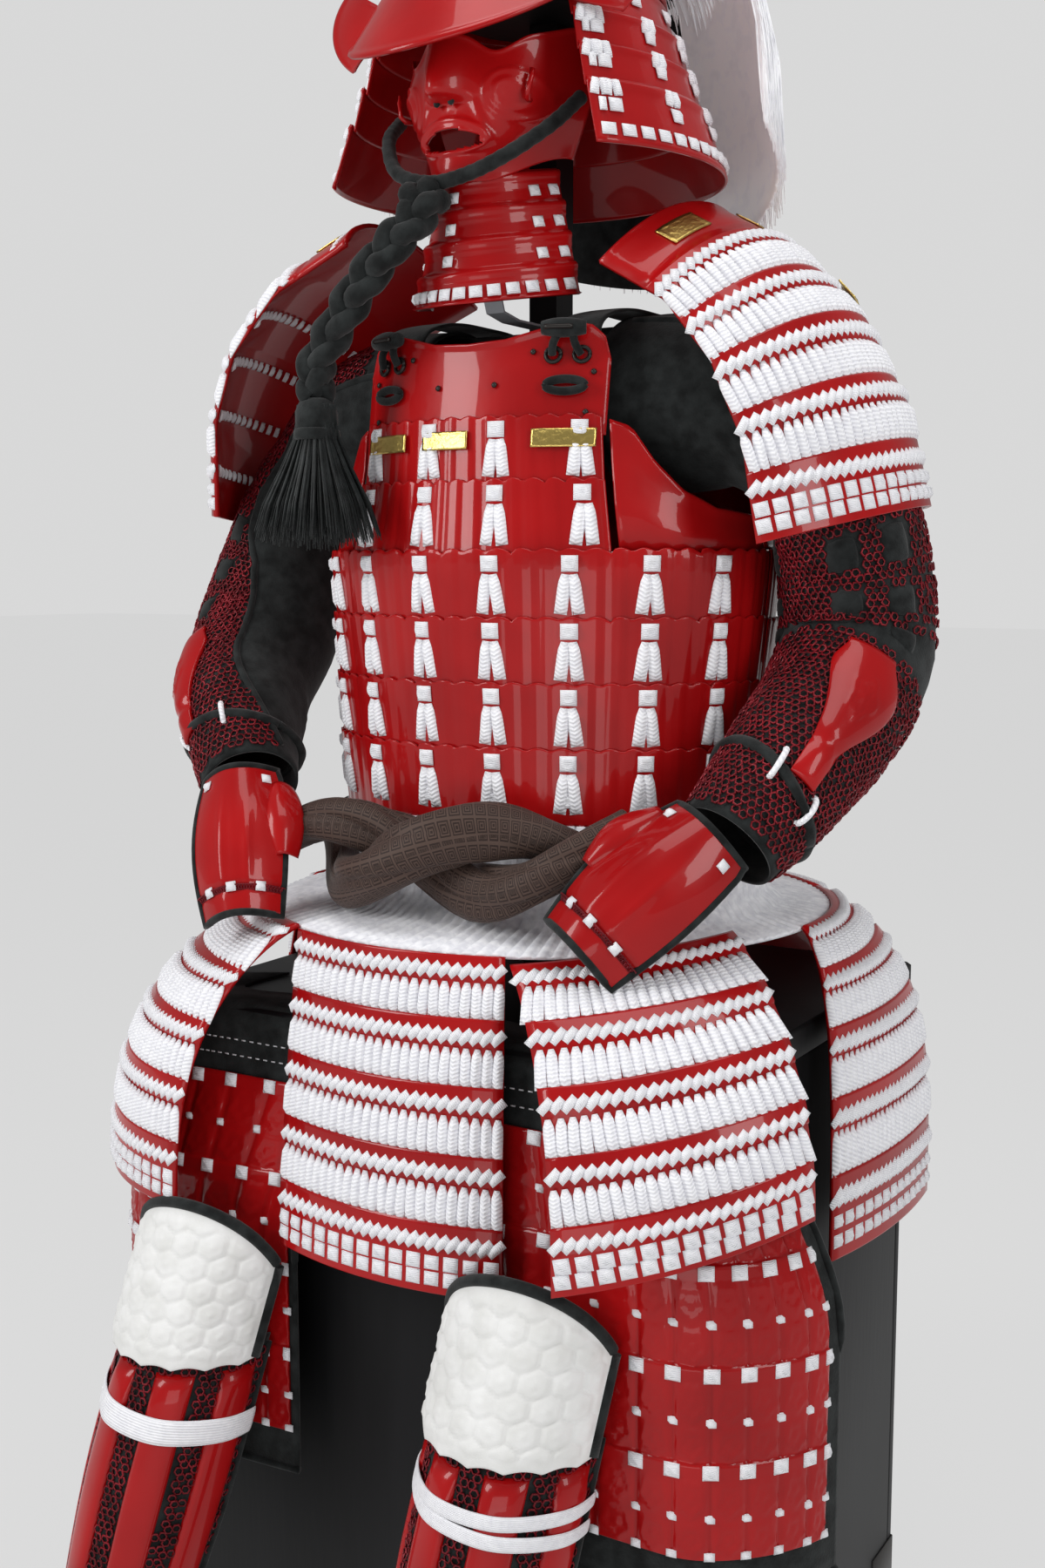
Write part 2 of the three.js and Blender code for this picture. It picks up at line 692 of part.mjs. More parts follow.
// Gourd-shaped plates on the outside of the forearms
function angleToward(surface, at, way) {
  const angles = even(71, 0, 355);
  const reach = angles.map((angle) => surface(angle, at).dot(V(...way)));
  return angles[reach.indexOf(Math.max(...reach))];
}
const GOURD = { at: 0.775, half: 0.1, narrow: 13, wide: 30, lift: 0.9, swell: 6 };
function gourdPlate(side, rows, way) {
  const surface = sleeveSurface(side, rows);
  const angle = angleToward(surface, GOURD.at, way);
  const turn = (t) => lerp(GOURD.narrow, GOURD.wide, smoothstep(t, 0.25, 0.8)) - 12 * bump(t, 1, 0.12);
  return wall({
    us: even(6, -1, 1),
    vs: even(6),
    point: (u, v) => {
      const where = GOURD.at + GOURD.half * (2 * v - 1);
      const centre = surface(angle, where).lerp(surface(angle + 180, where), 0.5);
      const p = surface(angle + u * turn(1 - v), where);
      return p.addScaledVector(p.clone().sub(centre).normalize(), CLOTH + SEAM + GOURD.lift);
    },
    from: surface(angle, GOURD.at).lerp(surface(angle + 180, GOURD.at), 0.5),
    relief: (u, v) => 2 + GOURD.swell * (1 - u * u) * Math.sqrt(Math.max(0, 1 - (2 * v - 1) ** 2)),
  });
}
add("gourd_plate_left", gourdPlate(1, SLEEVES.left, [0.75, -0.4, 0.5]), redLacquer);
add("gourd_plate_right", gourdPlate(-1, SLEEVES.right, [-0.8, -0.3, 0.5]), redLacquer);

// Hand guards: a curved plate over the back of the hand, from the wrist to the knuckles
const HANDS = {
  left: {
    wrist: [238, -160, 838],
    knuckle: [160, -236, 748],
    half: 48, bow: 26, turn: [0.45, -0.55, 0.7],
  },
  right: {
    wrist: [-208, -198.2, 862],
    knuckle: [-161, -255.4, 744],
    half: 41, bow: 24, turn: [0.3, -0.8, 0.5],
  },
};
function handGuard({ wrist, knuckle, half, bow, turn }) {
  const [start, end] = [V(...wrist), V(...knuckle)];
  const along = end.clone().sub(start).normalize();
  const out = V(...turn);
  out.addScaledVector(along, -out.dot(along)).normalize();
  const across = along.clone().cross(out);
  return wall({
    us: even(6, -1, 1),
    vs: [0, 0.25, 0.5, 0.75, 1],
    point: (u, v) => {
      const width = half * (0.82 + 0.18 * sin(180 * v));
      return start
        .clone()
        .lerp(end, v)
        .addScaledVector(across, width * u)
        .addScaledVector(out, bow * (0.4 + 0.6 * sin(20 + 140 * v)) - bow * u * u);
    },
    from: start.clone().lerp(end, 0.5).addScaledVector(out, -60),
    relief: (u, v) => (Math.abs(u) === 1 || v === 1 ? 1.6 : 0),
  });
}
for (const [name, hand] of Object.entries(HANDS)) {
  add("hand_guard_" + name, handGuard(hand), redLacquer);
}

// Sash: two thick twisted strands in front and a plain band behind
const STRAND = { half: 25, flat: 0.85, turns: 1.15, lift: 3.4 };
function sashStrand(phase) {
  const { half, flat, turns, lift } = STRAND;
  const gap = half + 0.9;
  const path = new THREE.CatmullRomCurve3(
    even(20).map((t) => {
      const angle = lerp(-42, 40, t);
      const swing = 360 * turns * t + phase;
      const level = lerp(802, 816, t) - 10 * sin(180 * t);
      const p = onBody(angle, level, lift + flat * (2 * gap + gap * cos(swing)));
      return p.add(V(0, 0, gap * sin(swing)));
    }),
  );
  const sections = even(16).map((at) => {
    const size = 0.66 + 0.34 * sin(180 * clamp(at, 0.02, 0.98));
    return { at, wide: half * flat * size, high: half * size };
  });
  return skin(loopsAlong(path, sections, 8, V(0, 0, 1)));
}
function sashBand() {
  return wall({
    us: even(14, 62, 293),
    vs: [0, 1],
    point: (u, v) => onBody(u, lerp(824, 788, v), 7),
    from: bodyMiddle(790),
    thickness: 4,
  });
}
add("sash_front_upper", sashStrand(0), brownBrocade);
add("sash_front_lower", sashStrand(180), brownBrocade);
add("sash_back", sashBand(), brownBrocade);

// Thigh guards: black cloth that comes over the front edge of the box, with four rows of plates
const THIGHS = {
  left: {
    high: [[44, -243], [120, -243], [200, -243], [254, -246], [277, -236], [284, -206], [284, -160]],
    low: [[70, -262], [150, -266], [225, -268], [278, -264], [318, -236], [345, -198], [356, -166]],
  },
  right: {
    high: [
      [-44, -243], [-120, -243], [-200, -243], [-254, -246], [-277, -236], [-284, -206], [-284, -160],
    ],
    low: [
      [-100, -262], [-160, -266], [-225, -268], [-270, -264], [-300, -244], [-318, -214], [-326, -182],
    ],
  },
};
const THIGH = { top: BOX_TOP - 12, rowsTop: 603, rowsLow: 296, low: 258, rows: 4, columns: 11 };
function thighPoint({ high, low }, u, z) {
  const [above, below] = [high, low].map((route) => {
    const path = new THREE.CatmullRomCurve3(route.map(([x, y]) => V(x, y, 0)));
    return path.getPoint(clamp(u, 0, 1));
  });
  const t = smoothstep(THIGH.top - z, 0, 190);
  return above.lerp(below, t).setZ(z);
}
function thighCloth(thigh) {
  const rows = even(THIGH.rows, THIGH.rowsTop, THIGH.rowsLow);
  const hang = [THIGH.top, ...rows, THIGH.low];
  const over = [{ i: 0, back: 78, z: BOX_TOP + SEAM }, { i: 1, back: 12, z: BOX_TOP + 2 * SEAM }];
  return wall({
    us: even(THIGH.columns),
    vs: even(over.length + hang.length - 1, 0, over.length + hang.length - 1),
    point: (u, v) => {
      const levels = [...over.map(({ z }) => z), ...hang].map((z, i) => ({ i, z }));
      const { z } = between(levels, "i", v);
      if (v >= over.length) return thighPoint(thigh, u, z);
      const edge = thighPoint(thigh, u, THIGH.top);
      const { back } = between(over, "i", v);
      const length = Math.hypot(edge.x, edge.y);
      return V(edge.x * (1 - back / length), edge.y * (1 - back / length), z);
    },
    from: V(0, 0, 400),
    thickness: CLOTH,
  });
}
function thighPlates(thigh) {
  const vs = [];
  for (let i = 0; i < THIGH.rows; i++) vs.push(i / THIGH.rows, (i + 0.97) / THIGH.rows);
  return wall({
    us: even(THIGH.columns).slice(0, -1).map((u) => Math.max(u, 0.02)),
    vs,
    point: (u, v) => {
      const z = lerp(THIGH.rowsTop, THIGH.rowsLow, v);
      const [a, b] = [thighPoint(thigh, u - 0.01, z), thighPoint(thigh, u + 0.01, z)];
      const out = V(b.y - a.y, a.x - b.x, 0).normalize();
      const p = thighPoint(thigh, u, z);
      return p.addScaledVector(out, (CLOTH + 2 * SEAM) * (out.dot(V(p.x, p.y, 0)) > 0 ? 1 : -1));
    },
    from: V(0, 0, 400),
    relief: (u, v) => ((v * THIGH.rows) % 1 < 0.5 ? 1.6 : 0),
  });
}
for (const [name, thigh] of Object.entries(THIGHS)) {
  add("thigh_cloth_" + name, thighCloth(thigh), blackCloth);
  add("thigh_plates_" + name, thighPlates(thigh), redLacquer);
}

// Shin guards stand on the floor, and lean back to the knee
const SHINS = {
  left: { kneeX: 139, kneeY: -346.8, footX: 96, footY: -446 },
  right: { kneeX: -190, kneeY: -346, footX: -250, footY: -446 },
};
const SHIN = {
  top: 385, kneeTop: 508, kneeLow: 372,
  half: 66, ankle: 46, arc: 96, kneeArc: 76,
  splint: 5, clear: 1.1,
};
function shinPoint({ kneeX, kneeY, footX, footY }, angle, z, out) {
  const t = clamp(z / SHIN.top, 0, 1.4);
  const radius = lerp(SHIN.ankle, SHIN.half, smoothstep(t, 0, 0.75)) + out;
  return V(
    lerp(footX, kneeX, t) + radius * sin(angle),
    lerp(footY, kneeY, t) - radius * cos(angle) + SHIN.half,
    z,
  );
}
function shinGuard(shin) {
  return wall({
    us: even(12, -1, 1),
    vs: even(4),
    point: (u, v) => shinPoint(shin, u * SHIN.arc, lerp(SHIN.top, 0, v), 0),
    from: V((shin.kneeX + shin.footX) / 2, -280, 190),
    relief: (u) => (Math.round((u + 1) * 6) % 3 ? SHIN.splint : 0),
    thickness: CLOTH,
  });
}

// Knee pads: quilted in six-sided cells over an arched piece of cloth
function kneePad(shin) {
  const rows = 6;
  const columns = 12;
  return wall({
    us: even(columns, -1, 1),
    vs: even(rows),
    point: (u, v) => {
      const arch = 58 * (1 - u * u);
      const z = lerp(SHIN.kneeTop - 58 + arch, SHIN.kneeLow, v);
      return shinPoint(shin, u * SHIN.kneeArc, z, CLOTH + SHIN.splint + SHIN.clear);
    },
    from: V(shin.kneeX, -280, 440),
    relief: (u, v) => {
      const [i, j] = [Math.round(((u + 1) * columns) / 2), Math.round(v * rows)];
      return (i + j) % 2 && j > 0 && j < rows ? 4.5 : 1;
    },
    thickness: CLOTH,
  });
}
for (const [name, shin] of Object.entries(SHINS)) {
  add("shin_guard_" + name, shinGuard(shin), redLacquer);
  add("knee_pad_" + name, kneePad(shin), whiteQuilt);
}

// Helmet, in the head group's own frame: the neck's axis is at x = 0, y = 0 there
function helmetBowl() {
  const { a, b, rim, top } = HELMET;
  const height = top - rim;
  const angles = even(5, 0, 90);
  const outer = angles.map((angle) => new THREE.Vector2(cos(angle), height * sin(angle)));
  const hollow = { reach: 1 - 2 / a, height: height - 2 };
  const inner = angles.map(
    (angle) => new THREE.Vector2(hollow.reach * cos(angle), hollow.height * sin(angle)),
  );
  outer[5].x = 0;
  inner[5].x = 0;
  const profile = [...inner.reverse(), ...outer];
  const geometry = new THREE.LatheGeometry(profile, 20);
  return geometry.rotateX(Math.PI / 2).scale(a, b, 1).translate(0, 0, rim);
}

// The peak over the brow: it dips in the middle and rises towards its ends
const PEAK = { dip: 80, rise: 117, reach: 0.32, flare: 0.05, clear: 1.1, lift: 4, half: 50 };
function helmetPeak() {
  const { a, b, rim } = HELMET;
  return wall({
    us: even(8, -PEAK.half, PEAK.half),
    vs: [0, 0.5, 1],
    point: (u, v) => {
      const reach = 1 + (PEAK.reach * cos(u * 1.2) + PEAK.flare) * v;
      const z = rim + PEAK.lift - v * (PEAK.dip - PEAK.rise * (1 - cos(u)));
      return V((a + PEAK.clear) * reach * sin(u), -(b + PEAK.clear) * reach * cos(u), z);
    },
    from: V(0, 0, rim - 60),
    relief: (u, v) => (v === 1 ? 1.2 : 0),
  });
}

// Neck guard: five flared rows, each outside the one above it
const NECK = [
  { z: 1523.6, a: 110.4, b: 128.4 },
  { z: 1484, a: 127, b: 138 },
  { z: 1455, a: 138, b: 145 },
  { z: 1425, a: 151, b: 153 },
  { z: 1377, a: 173, b: 168 },
];
const NECK_FRONT = 54;
function neckRow(i) {
  const [high, low] = [NECK[i], NECK[i + 1]];
  return wall({
    us: even(14, NECK_FRONT, 360 - NECK_FRONT),
    vs: [0, 1],
    point: (u, v) => {
      const out = i ? 1.95 * (1 - v) : 0;
      const rise = i ? 5 * (1 - v) : 0;
      const [a, b] = [lerp(high.a, low.a, v) + out, lerp(high.b, low.b, v) + out];
      return V(a * sin(u), -b * cos(u), lerp(high.z, low.z, v) + rise);
    },
    from: V(0, 0, high.z),
  });
}

// The turned-back ends of the neck guard
function wing(side) {
  return wall({
    us: even(5, -1, 1),
    vs: even(4),
    point: (u, v) => {
      const round = Math.sqrt(1 - 0.55 * u * u);
      return V(side * (96 + 70 * v * round), -81.8 + 16 * v * v, 1511 + (14 + 20 * v) * u + 6 * v);
    },
    from: V(0, 0, 1500),
  });
}

// Hair of the helmet: long white locks from the crown down behind
function mane() {
  const rows = [
    { at: 0, z: 1643.1, a: 38, b: 44 },
    { at: 0.2, z: 1640, a: 104, b: 112 },
    { at: 0.42, z: 1560, a: 178, b: 178 },
    { at: 0.7, z: 1430, a: 208, b: 206 },
    { at: 1, z: 1312, a: 216, b: 214 },
  ];
  return wall({
    us: even(16, 98, 262),
    vs: [0, 0.2, 0.42, 0.7, 1],
    point: (u, v) => {
      const { z, a, b } = between(rows, "at", v);
      const edge = Math.abs(u - 180) / 98;
      const lift = 110 * v * Math.max(edge, 0) ** 1.5;
      return V(a * sin(u), -b * cos(u), z + lift);
    },
    from: V(0, 0, 1450),
    relief: (u, v) => (Math.round((u - 98) / 10.25) % 2 ? 5 : 0) * v,
    thickness: 8,
  });
}

// Mask: a plain open-mouthed face guard
const MASK = { chin: 1362, brow: 1478, mouth: 1398, nostril: 1428 };
function mask() {
  const face = (u, z) => {
    const t = clamp((z - MASK.chin) / (MASK.brow - MASK.chin), 0, 1);
    const a = lerp(56, 82, smoothstep(t, 0, 0.7));
    const b = lerp(104, 110, smoothstep(t, 0, 0.5));
    const bridge = smoothstep(z, 1424, 1432) * (1 - 0.5 * smoothstep(z, 1436, 1480));
    const nose = 24 * bump(u, 0, 11) * bridge;
    const lip = 6 * bump(u, 0, 30) * bump(z, MASK.mouth, 14);
    const cheek = 9 * bump(Math.abs(u), 38, 16) * bump(z, 1436, 22);
    const chin = 8 * bump(u, 0, 24) * bump(z, MASK.chin + 10, 14);
    const out = nose + lip + cheek + chin;
    return V((a + out * 0.4) * sin(u), -(b + out) * cos(u * 0.92), z);
  };
  const brow = (u) => MASK.brow - 16 * bump(Math.abs(u), 30, 13) + 10 * smoothstep(Math.abs(u), 50, 80);
  const made = wall({
    us: [-84, -64, -48, -36, -24, -12, -5, 0, 5, 12, 24, 36, 48, 64, 84],
    vs: [0, 0.16, 0.32, 0.46, 0.58, 0.7, 0.82, 0.92, 1],
    point: (u, v) => {
      const low = MASK.chin + 26 * smoothstep(Math.abs(u), 24, 84);
      return face(u, lerp(brow(u), low, v));
    },
    from: V(0, 0, 1420),
    thickness: 2.2,
  });
  const opening = new THREE.Shape();
  opening.moveTo(-30, -4);
  opening.quadraticCurveTo(0, 14, 30, -4);
  opening.quadraticCurveTo(0, -14, -30, -4);
  const cutter = { depth: 90, bevelEnabled: false, curveSegments: 5 };
  const mouth = new THREE.ExtrudeGeometry(opening, cutter);
  mouth.rotateX(Math.PI / 2).translate(0, -60, MASK.mouth);
  let cut = toManifold(made).subtract(toManifold(mouth));
  for (const side of [-1, 1]) {
    const hole = new THREE.CylinderGeometry(3.6, 3.6, 60, 8);
    hole.rotateX(0.9).translate(7.5 * side, -134, MASK.nostril - 2);
    cut = cut.subtract(toManifold(hole));
  }
  return fromManifold(cut);
}

// Throat guard: four rows below the chin
function throatGuard() {
  const rows = 4;
  const vs = [];
  for (let i = 0; i < rows; i++) vs.push(i / rows, (i + 0.97) / rows);
  return wall({
    us: even(10, -72, 72),
    vs,
    point: (u, v) => {
      const z = lerp(1366, 1261, v);
      const [a, b] = [lerp(54, 84, v), lerp(99, 116, v)];
      return V(a * sin(u), -b * cos(u), z + 18 * (1 - cos(u)));
    },
    from: V(0, 0, 1300),
    relief: (u, v) => ((v * rows) % 1 < 0.5 ? 2.6 : 0.2),
  });
}
add("helmet_bowl", helmetBowl(), redLacquer, headGroup);
add("helmet_peak", helmetPeak(), redLacquer, headGroup);
for (let i = 0; i < NECK.length - 1; i++) add("neck_row_" + (i + 1), neckRow(i), redLacquer, headGroup);
add("helmet_wing_left", wing(1), redLacquer, headGroup);
add("helmet_wing_right", wing(-1), redLacquer, headGroup);
add("helmet_hair", mane(), whiteHair, headGroup);
add("mask", mask(), redLacquer, headGroup);
add("throat_guard", throatGuard(), redLacquer, headGroup);

// Chin cord: down from each side of the mask to the knot, then one plaited length to the tassel
const CHIN_CORD = [
  [84, -96, 1430],
  [72, -124, 1404],
  [44, -150, 1378],
  [10, -157, 1365],
  [-24, -156.6, 1362],
  [-66, -146, 1376],
  [-94, -118, 1412],
  [-100, -92, 1432],
];
const CHIN_PLAIT = [
  [-26, -161, 1357],
  [-28, -170, 1336],
  [-46, -182, 1312],
  [-76, -184, 1282],
  [-104, -182, 1250],
  [-128, -182, 1216],
  [-128, -182, 1190.8],
];
function chinPlait() {
  const path = new THREE.CatmullRomCurve3(CHIN_PLAIT.map((p) => V(...p)));
  const twist = (at) => 3 * cos(360 * 5 * at);
  const sections = even(16).map((at) => ({ at, wide: 17 + twist(at), high: 14 + twist(at) }));
  return skin(loopsAlong(path, sections, 8));
}
const TASSEL = { x: -128, y: -182, top: 1190, low: 1056, head: 18, spread: 64, strands: 34 };
function tassel() {
  const { x, y, top, low, head, spread, strands } = TASSEL;
  const headLoops = [0, 12, 26, 36].map((drop, i) =>
    even(9, 0, 324).map((angle) => {
      const radius = head * [0.7, 1, 1.05, 0.9][i];
      return V(x + radius * cos(angle), y + radius * sin(angle), top - drop);
    }),
  );
  let made = toManifold(skin(headLoops));
  for (let i = 0; i < strands; i++) {
    const angle = i * 137.5;
    const ring = Math.sqrt((i + 0.5) / strands);
    const loops = [30, 75, top - low - 8 * ((i * 7) % 3)].map((drop, j) => {
      const reach = ring * [head * 0.72, spread * 0.62, spread][j];
      const size = [2.6, 4.2, 2.2][j];
      const [atX, atY] = [x + reach * cos(angle), y + 0.72 * reach * sin(angle)];
      return [0, 120, 240].map((turn) =>
        V(atX + size * cos(angle + turn), atY + size * sin(angle + turn), top - drop),
      );
    });
    made = made.add(toManifold(skin(loops)));
  }
  return fromManifold(made);
}
add("chin_cord", cord(CHIN_CORD, 12, 24), blackCloth);
add("chin_plait", chinPlait(), blackCloth);
add("chin_tassel", tassel(), blackCloth);

export default armour;
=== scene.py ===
# Samurai armour on its storage box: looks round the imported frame, in metres, +Z up
import math
import bpy
import numpy as np
from mathutils import Matrix, Vector


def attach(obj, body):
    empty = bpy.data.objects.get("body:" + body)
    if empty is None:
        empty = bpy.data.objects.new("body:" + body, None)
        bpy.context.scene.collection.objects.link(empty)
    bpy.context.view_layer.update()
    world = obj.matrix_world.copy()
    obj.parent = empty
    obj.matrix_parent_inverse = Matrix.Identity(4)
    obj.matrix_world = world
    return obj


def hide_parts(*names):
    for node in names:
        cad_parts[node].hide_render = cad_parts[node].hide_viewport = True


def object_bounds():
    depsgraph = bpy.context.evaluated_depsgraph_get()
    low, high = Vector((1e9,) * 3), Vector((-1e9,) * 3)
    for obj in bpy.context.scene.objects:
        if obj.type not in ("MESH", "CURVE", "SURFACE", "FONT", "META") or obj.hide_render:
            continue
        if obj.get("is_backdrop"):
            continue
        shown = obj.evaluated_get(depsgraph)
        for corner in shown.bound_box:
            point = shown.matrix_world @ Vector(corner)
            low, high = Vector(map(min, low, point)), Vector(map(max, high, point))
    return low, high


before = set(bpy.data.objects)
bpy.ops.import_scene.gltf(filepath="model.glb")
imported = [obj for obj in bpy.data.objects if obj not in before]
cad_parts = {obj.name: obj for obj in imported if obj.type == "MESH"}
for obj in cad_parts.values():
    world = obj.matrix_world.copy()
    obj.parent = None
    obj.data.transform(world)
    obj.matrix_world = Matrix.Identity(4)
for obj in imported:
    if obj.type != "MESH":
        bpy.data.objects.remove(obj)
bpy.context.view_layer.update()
chance = np.random.default_rng(11)
mm = 0.001  # tables below are in millimetres, as the part's own are

# Camera and light
view = {"azimuth": 30, "distance": 1618, "height": 1043, "pitch": 7, "yaw": 0.92, "lens": 40}
studio = {"backdrop": 0.69, "fill": 0.27, "floorGlow": 0.63, "left": 42, "right": 25, "top": 27, "low": 6,
          # name, place, target and size in metres
          "boxes": [("left", (-1.6, -2.2, 2.1), (0, 0, 1.0), (0.9, 1.6)),
                    ("right", (2.6, -1.0, 2.0), (0, 0, 1.0), (0.8, 1.6)),
                    ("top", (0.3, -0.3, 3.2), (0, 0, 1.0), (1.6, 1.6)),
                    ("low", (0.6, -2.4, 0.5), (0, 0, 0.6), (1.2, 0.8))]}


def sind(a):
    return math.sin(math.radians(a))


def cosd(a):
    return math.cos(math.radians(a))


def vec(*a):
    return np.array(a, float)


def unit(a):
    return a / max(np.linalg.norm(a), 1e-12)


def lerp(a, b, t):
    return a + (b - a) * t


def clamp(x, low, high):
    return max(low, min(high, x))


def smooth(x, low, high):
    t = clamp((x - low) / (high - low), 0, 1)
    return t * t * (3 - 2 * t)


def bump(t, middle, width):
    return math.exp(-(((t - middle) / width) ** 2))


def even(count, start=0.0, end=1.0):
    return [start + (end - start) * i / count for i in range(count + 1)]


# A table's values at a value of its first column
def between(rows, at):
    rows = rows if rows[-1][0] > rows[0][0] else rows[::-1]
    i = 0
    while i < len(rows) - 2 and at > rows[i + 1][0]:
        i += 1
    low, high = rows[i], rows[i + 1]
    t = clamp((at - low[0]) / (high[0] - low[0]), 0, 1)
    return [lerp(p, q, t) for p, q in zip(low, high)]


# A point of the smooth line through given points, t from 0 to 1
def alongCurve(points, t):
    last = len(points) - 1
    p = last * t
    i = min(int(math.floor(p)), last - 1)
    w = p - i
    p1, p2 = points[i], points[i + 1]
    p0 = points[i - 1] if i > 0 else 2 * points[0] - points[1]
    p3 = points[i + 2] if i + 2 <= last else 2 * points[-1] - points[-2]
    d0, d1, d2 = (max(np.linalg.norm(a - b), 1e-8) ** 0.5 for a, b in ((p0, p1), (p1, p2), (p2, p3)))
    t1 = ((p1 - p0) / d0 - (p2 - p0) / (d0 + d1) + (p2 - p1) / d1) * d1
    t2 = ((p2 - p1) / d1 - (p3 - p1) / (d1 + d2) + (p3 - p2) / d2) * d1
    return p1 + t1 * w + (-3 * p1 + 3 * p2 - 2 * t1 - t2) * w * w + (2 * p1 - 2 * p2 + t1 + t2) * w**3


def curveTangent(points, t):
    low, high = max(t - 1e-4, 0), min(t + 1e-4, 1)
    return unit(alongCurve(points, high) - alongCurve(points, low))


# Mesh making
def makeMesh(name, points, faces, material, uv=None, shade=True):
    mesh = bpy.data.meshes.new(name)
    mesh.from_pydata((np.asarray(points) * mm).tolist(), [], faces)
    if uv is not None:
        layer = mesh.uv_layers.new(name="weave")
        corner = np.zeros(len(mesh.loops), np.int32)
        mesh.loops.foreach_get("vertex_index", corner)
        layer.data.foreach_set("uv", np.asarray(uv, np.float32)[corner].ravel())
    mesh.polygons.foreach_set("use_smooth", [shade] * len(mesh.polygons))
    mesh.materials.append(material)
    mesh.update()
    piece = bpy.data.objects.new(name, mesh)
    bpy.context.scene.collection.objects.link(piece)
    return piece


# Rides the frame's one body, in place of these nodes
def dress(piece, slot, *nodes):
    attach(piece, "root")
    if nodes:
        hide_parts(*nodes)
    return piece


def gridNormals(grid, closed):
    if closed:
        across = np.roll(grid, -1, 1) - np.roll(grid, 1, 1)
    else:
        across = np.gradient(grid, axis=1)
    down = np.gradient(grid, axis=0)
    n = np.cross(across, down)
    return n / np.maximum(np.linalg.norm(n, axis=2, keepdims=True), 1e-9)


# Points, faces and weave coordinates of a closed wall between two grids
def wallFromGrid(outer, inner, closed=False, skip=None):
    rows, columns = outer.shape[:2]
    n = rows * columns
    faces = []
    spans = columns if closed else columns - 1
    at = lambda i, j: j * columns + i % columns

    def gone(i, j):
        inside = 0 <= j < rows - 1 and (closed or 0 <= i < spans)
        return skip is not None and inside and skip(i % columns, j)

    for j in range(rows - 1):
        for i in range(spans):
            if gone(i, j):
                continue
            a, b, c, d = at(i, j), at(i + 1, j), at(i + 1, j + 1), at(i, j + 1)
            faces.append((a, b, c, d))
            faces.append((n + a, n + d, n + c, n + b))
            if j == 0 or gone(i, j - 1):
                faces.append((b, a, n + a, n + b))
            if j == rows - 2 or gone(i, j + 1):
                faces.append((d, c, n + c, n + d))
            if (i == 0 and not closed) or gone(i - 1, j):
                faces.append((a, d, n + d, n + a))
            if (i == spans - 1 and not closed) or gone(i + 1, j):
                faces.append((c, b, n + b, n + c))
    u, v = np.meshgrid(np.linspace(0, 1, columns), np.linspace(0, 1, rows))
    flat = np.stack([u, v], 2).reshape(-1, 2)
    points = np.concatenate([outer.reshape(-1, 3), inner.reshape(-1, 3)])
    return points, faces, np.concatenate([flat, flat])


# A wall over point(u, v), with relief(u, v) on the face turned away from the place source
def wall(name, material, us, vs, point, source, relief=None, thickness=1.8, closed=False, skip=None,
         lift=0):
    grid = np.array([[point(u, v) for u in us] for v in vs])
    normals = gridNormals(grid, closed)
    middle = (len(vs) // 2, len(us) // 2)
    side = 1.0 if np.dot(normals[middle], grid[middle] - np.asarray(source)) > 0 else -1.0
    height = np.array([[relief(u, v) if relief else 0 for u in us] for v in vs])
    outer = grid + normals * (side * (lift + thickness + height))[..., None]
    inner = grid + normals * side * lift
    points, faces, uv = wallFromGrid(outer, inner, closed, skip)
    if side < 0:  # keeps the faces pointing out of the wall
        faces = [f[::-1] for f in faces]
    return makeMesh(name, points, faces, material, uv)


# A round body along points, closed at both ends
def tube(name, material, points, radii, sides=10, reference=(0, 0, 1), flat=1.0, spin=0.0):
    points = np.asarray(points, float)
    tangents = np.gradient(points, axis=0)
    loops = []
    for p, t, r in zip(points, tangents, radii):
        across = unit(np.cross(t, reference))
        up = unit(np.cross(across, t))
        for k in range(sides):
            a = 360 * k / sides + spin
            loops.append(p + across * r * flat * cosd(a) + up * r * sind(a))
    loops += [points[0], points[-1]]
    count, faces = len(points), []
    for j in range(count - 1):
        for i in range(sides):
            a, b = j * sides + i, j * sides + (i + 1) % sides
            faces.append((a, a + sides, b + sides, b))
    first, last = count * sides, (count - 1) * sides
    for i in range(sides):
        faces.append((first, i, (i + 1) % sides))
        faces.append((first + 1, last + (i + 1) % sides, last + i))
    uv = [(k / sides, j / (count - 1)) for j in range(count) for k in range(sides)] + [(0, 0), (0, 1)]
    return makeMesh(name, loops, faces, material, uv)


# Several made pieces as one, with their places in one mesh
def joined(name, pieces):
    everything = {"points": [], "faces": [], "slots": [], "uv": []}
    materials, start = [], 0
    for piece in pieces:
        data = piece.data
        places = [materials.index(m) if m in materials else materials.append(m) or len(materials) - 1
                  for m in data.materials]
        co = np.zeros(len(data.vertices) * 3)
        data.vertices.foreach_get("co", co)
        everything["points"].append(co.reshape(-1, 3))
        layer = data.uv_layers[0].data if data.uv_layers else None
        for polygon in data.polygons:
            everything["faces"].append([start + i for i in polygon.vertices])
            everything["slots"].append(places[polygon.material_index])
            everything["uv"] += [tuple(layer[k].uv) if layer else (0, 0) for k in polygon.loop_indices]
        start += len(data.vertices)
    made = bpy.data.meshes.new(name)
    made.from_pydata(np.concatenate(everything["points"]).tolist(), [], everything["faces"])
    for material in materials:
        made.materials.append(material)
    made.polygons.foreach_set("material_index", everything["slots"])
    made.polygons.foreach_set("use_smooth", [True] * len(made.polygons))
    layer = made.uv_layers.new(name="weave")
    layer.data.foreach_set("uv", np.array(everything["uv"], np.float32).ravel())
    for piece in pieces:
        bpy.data.objects.remove(piece)
    whole = bpy.data.objects.new(name, made)
    bpy.context.scene.collection.objects.link(whole)
    return whole


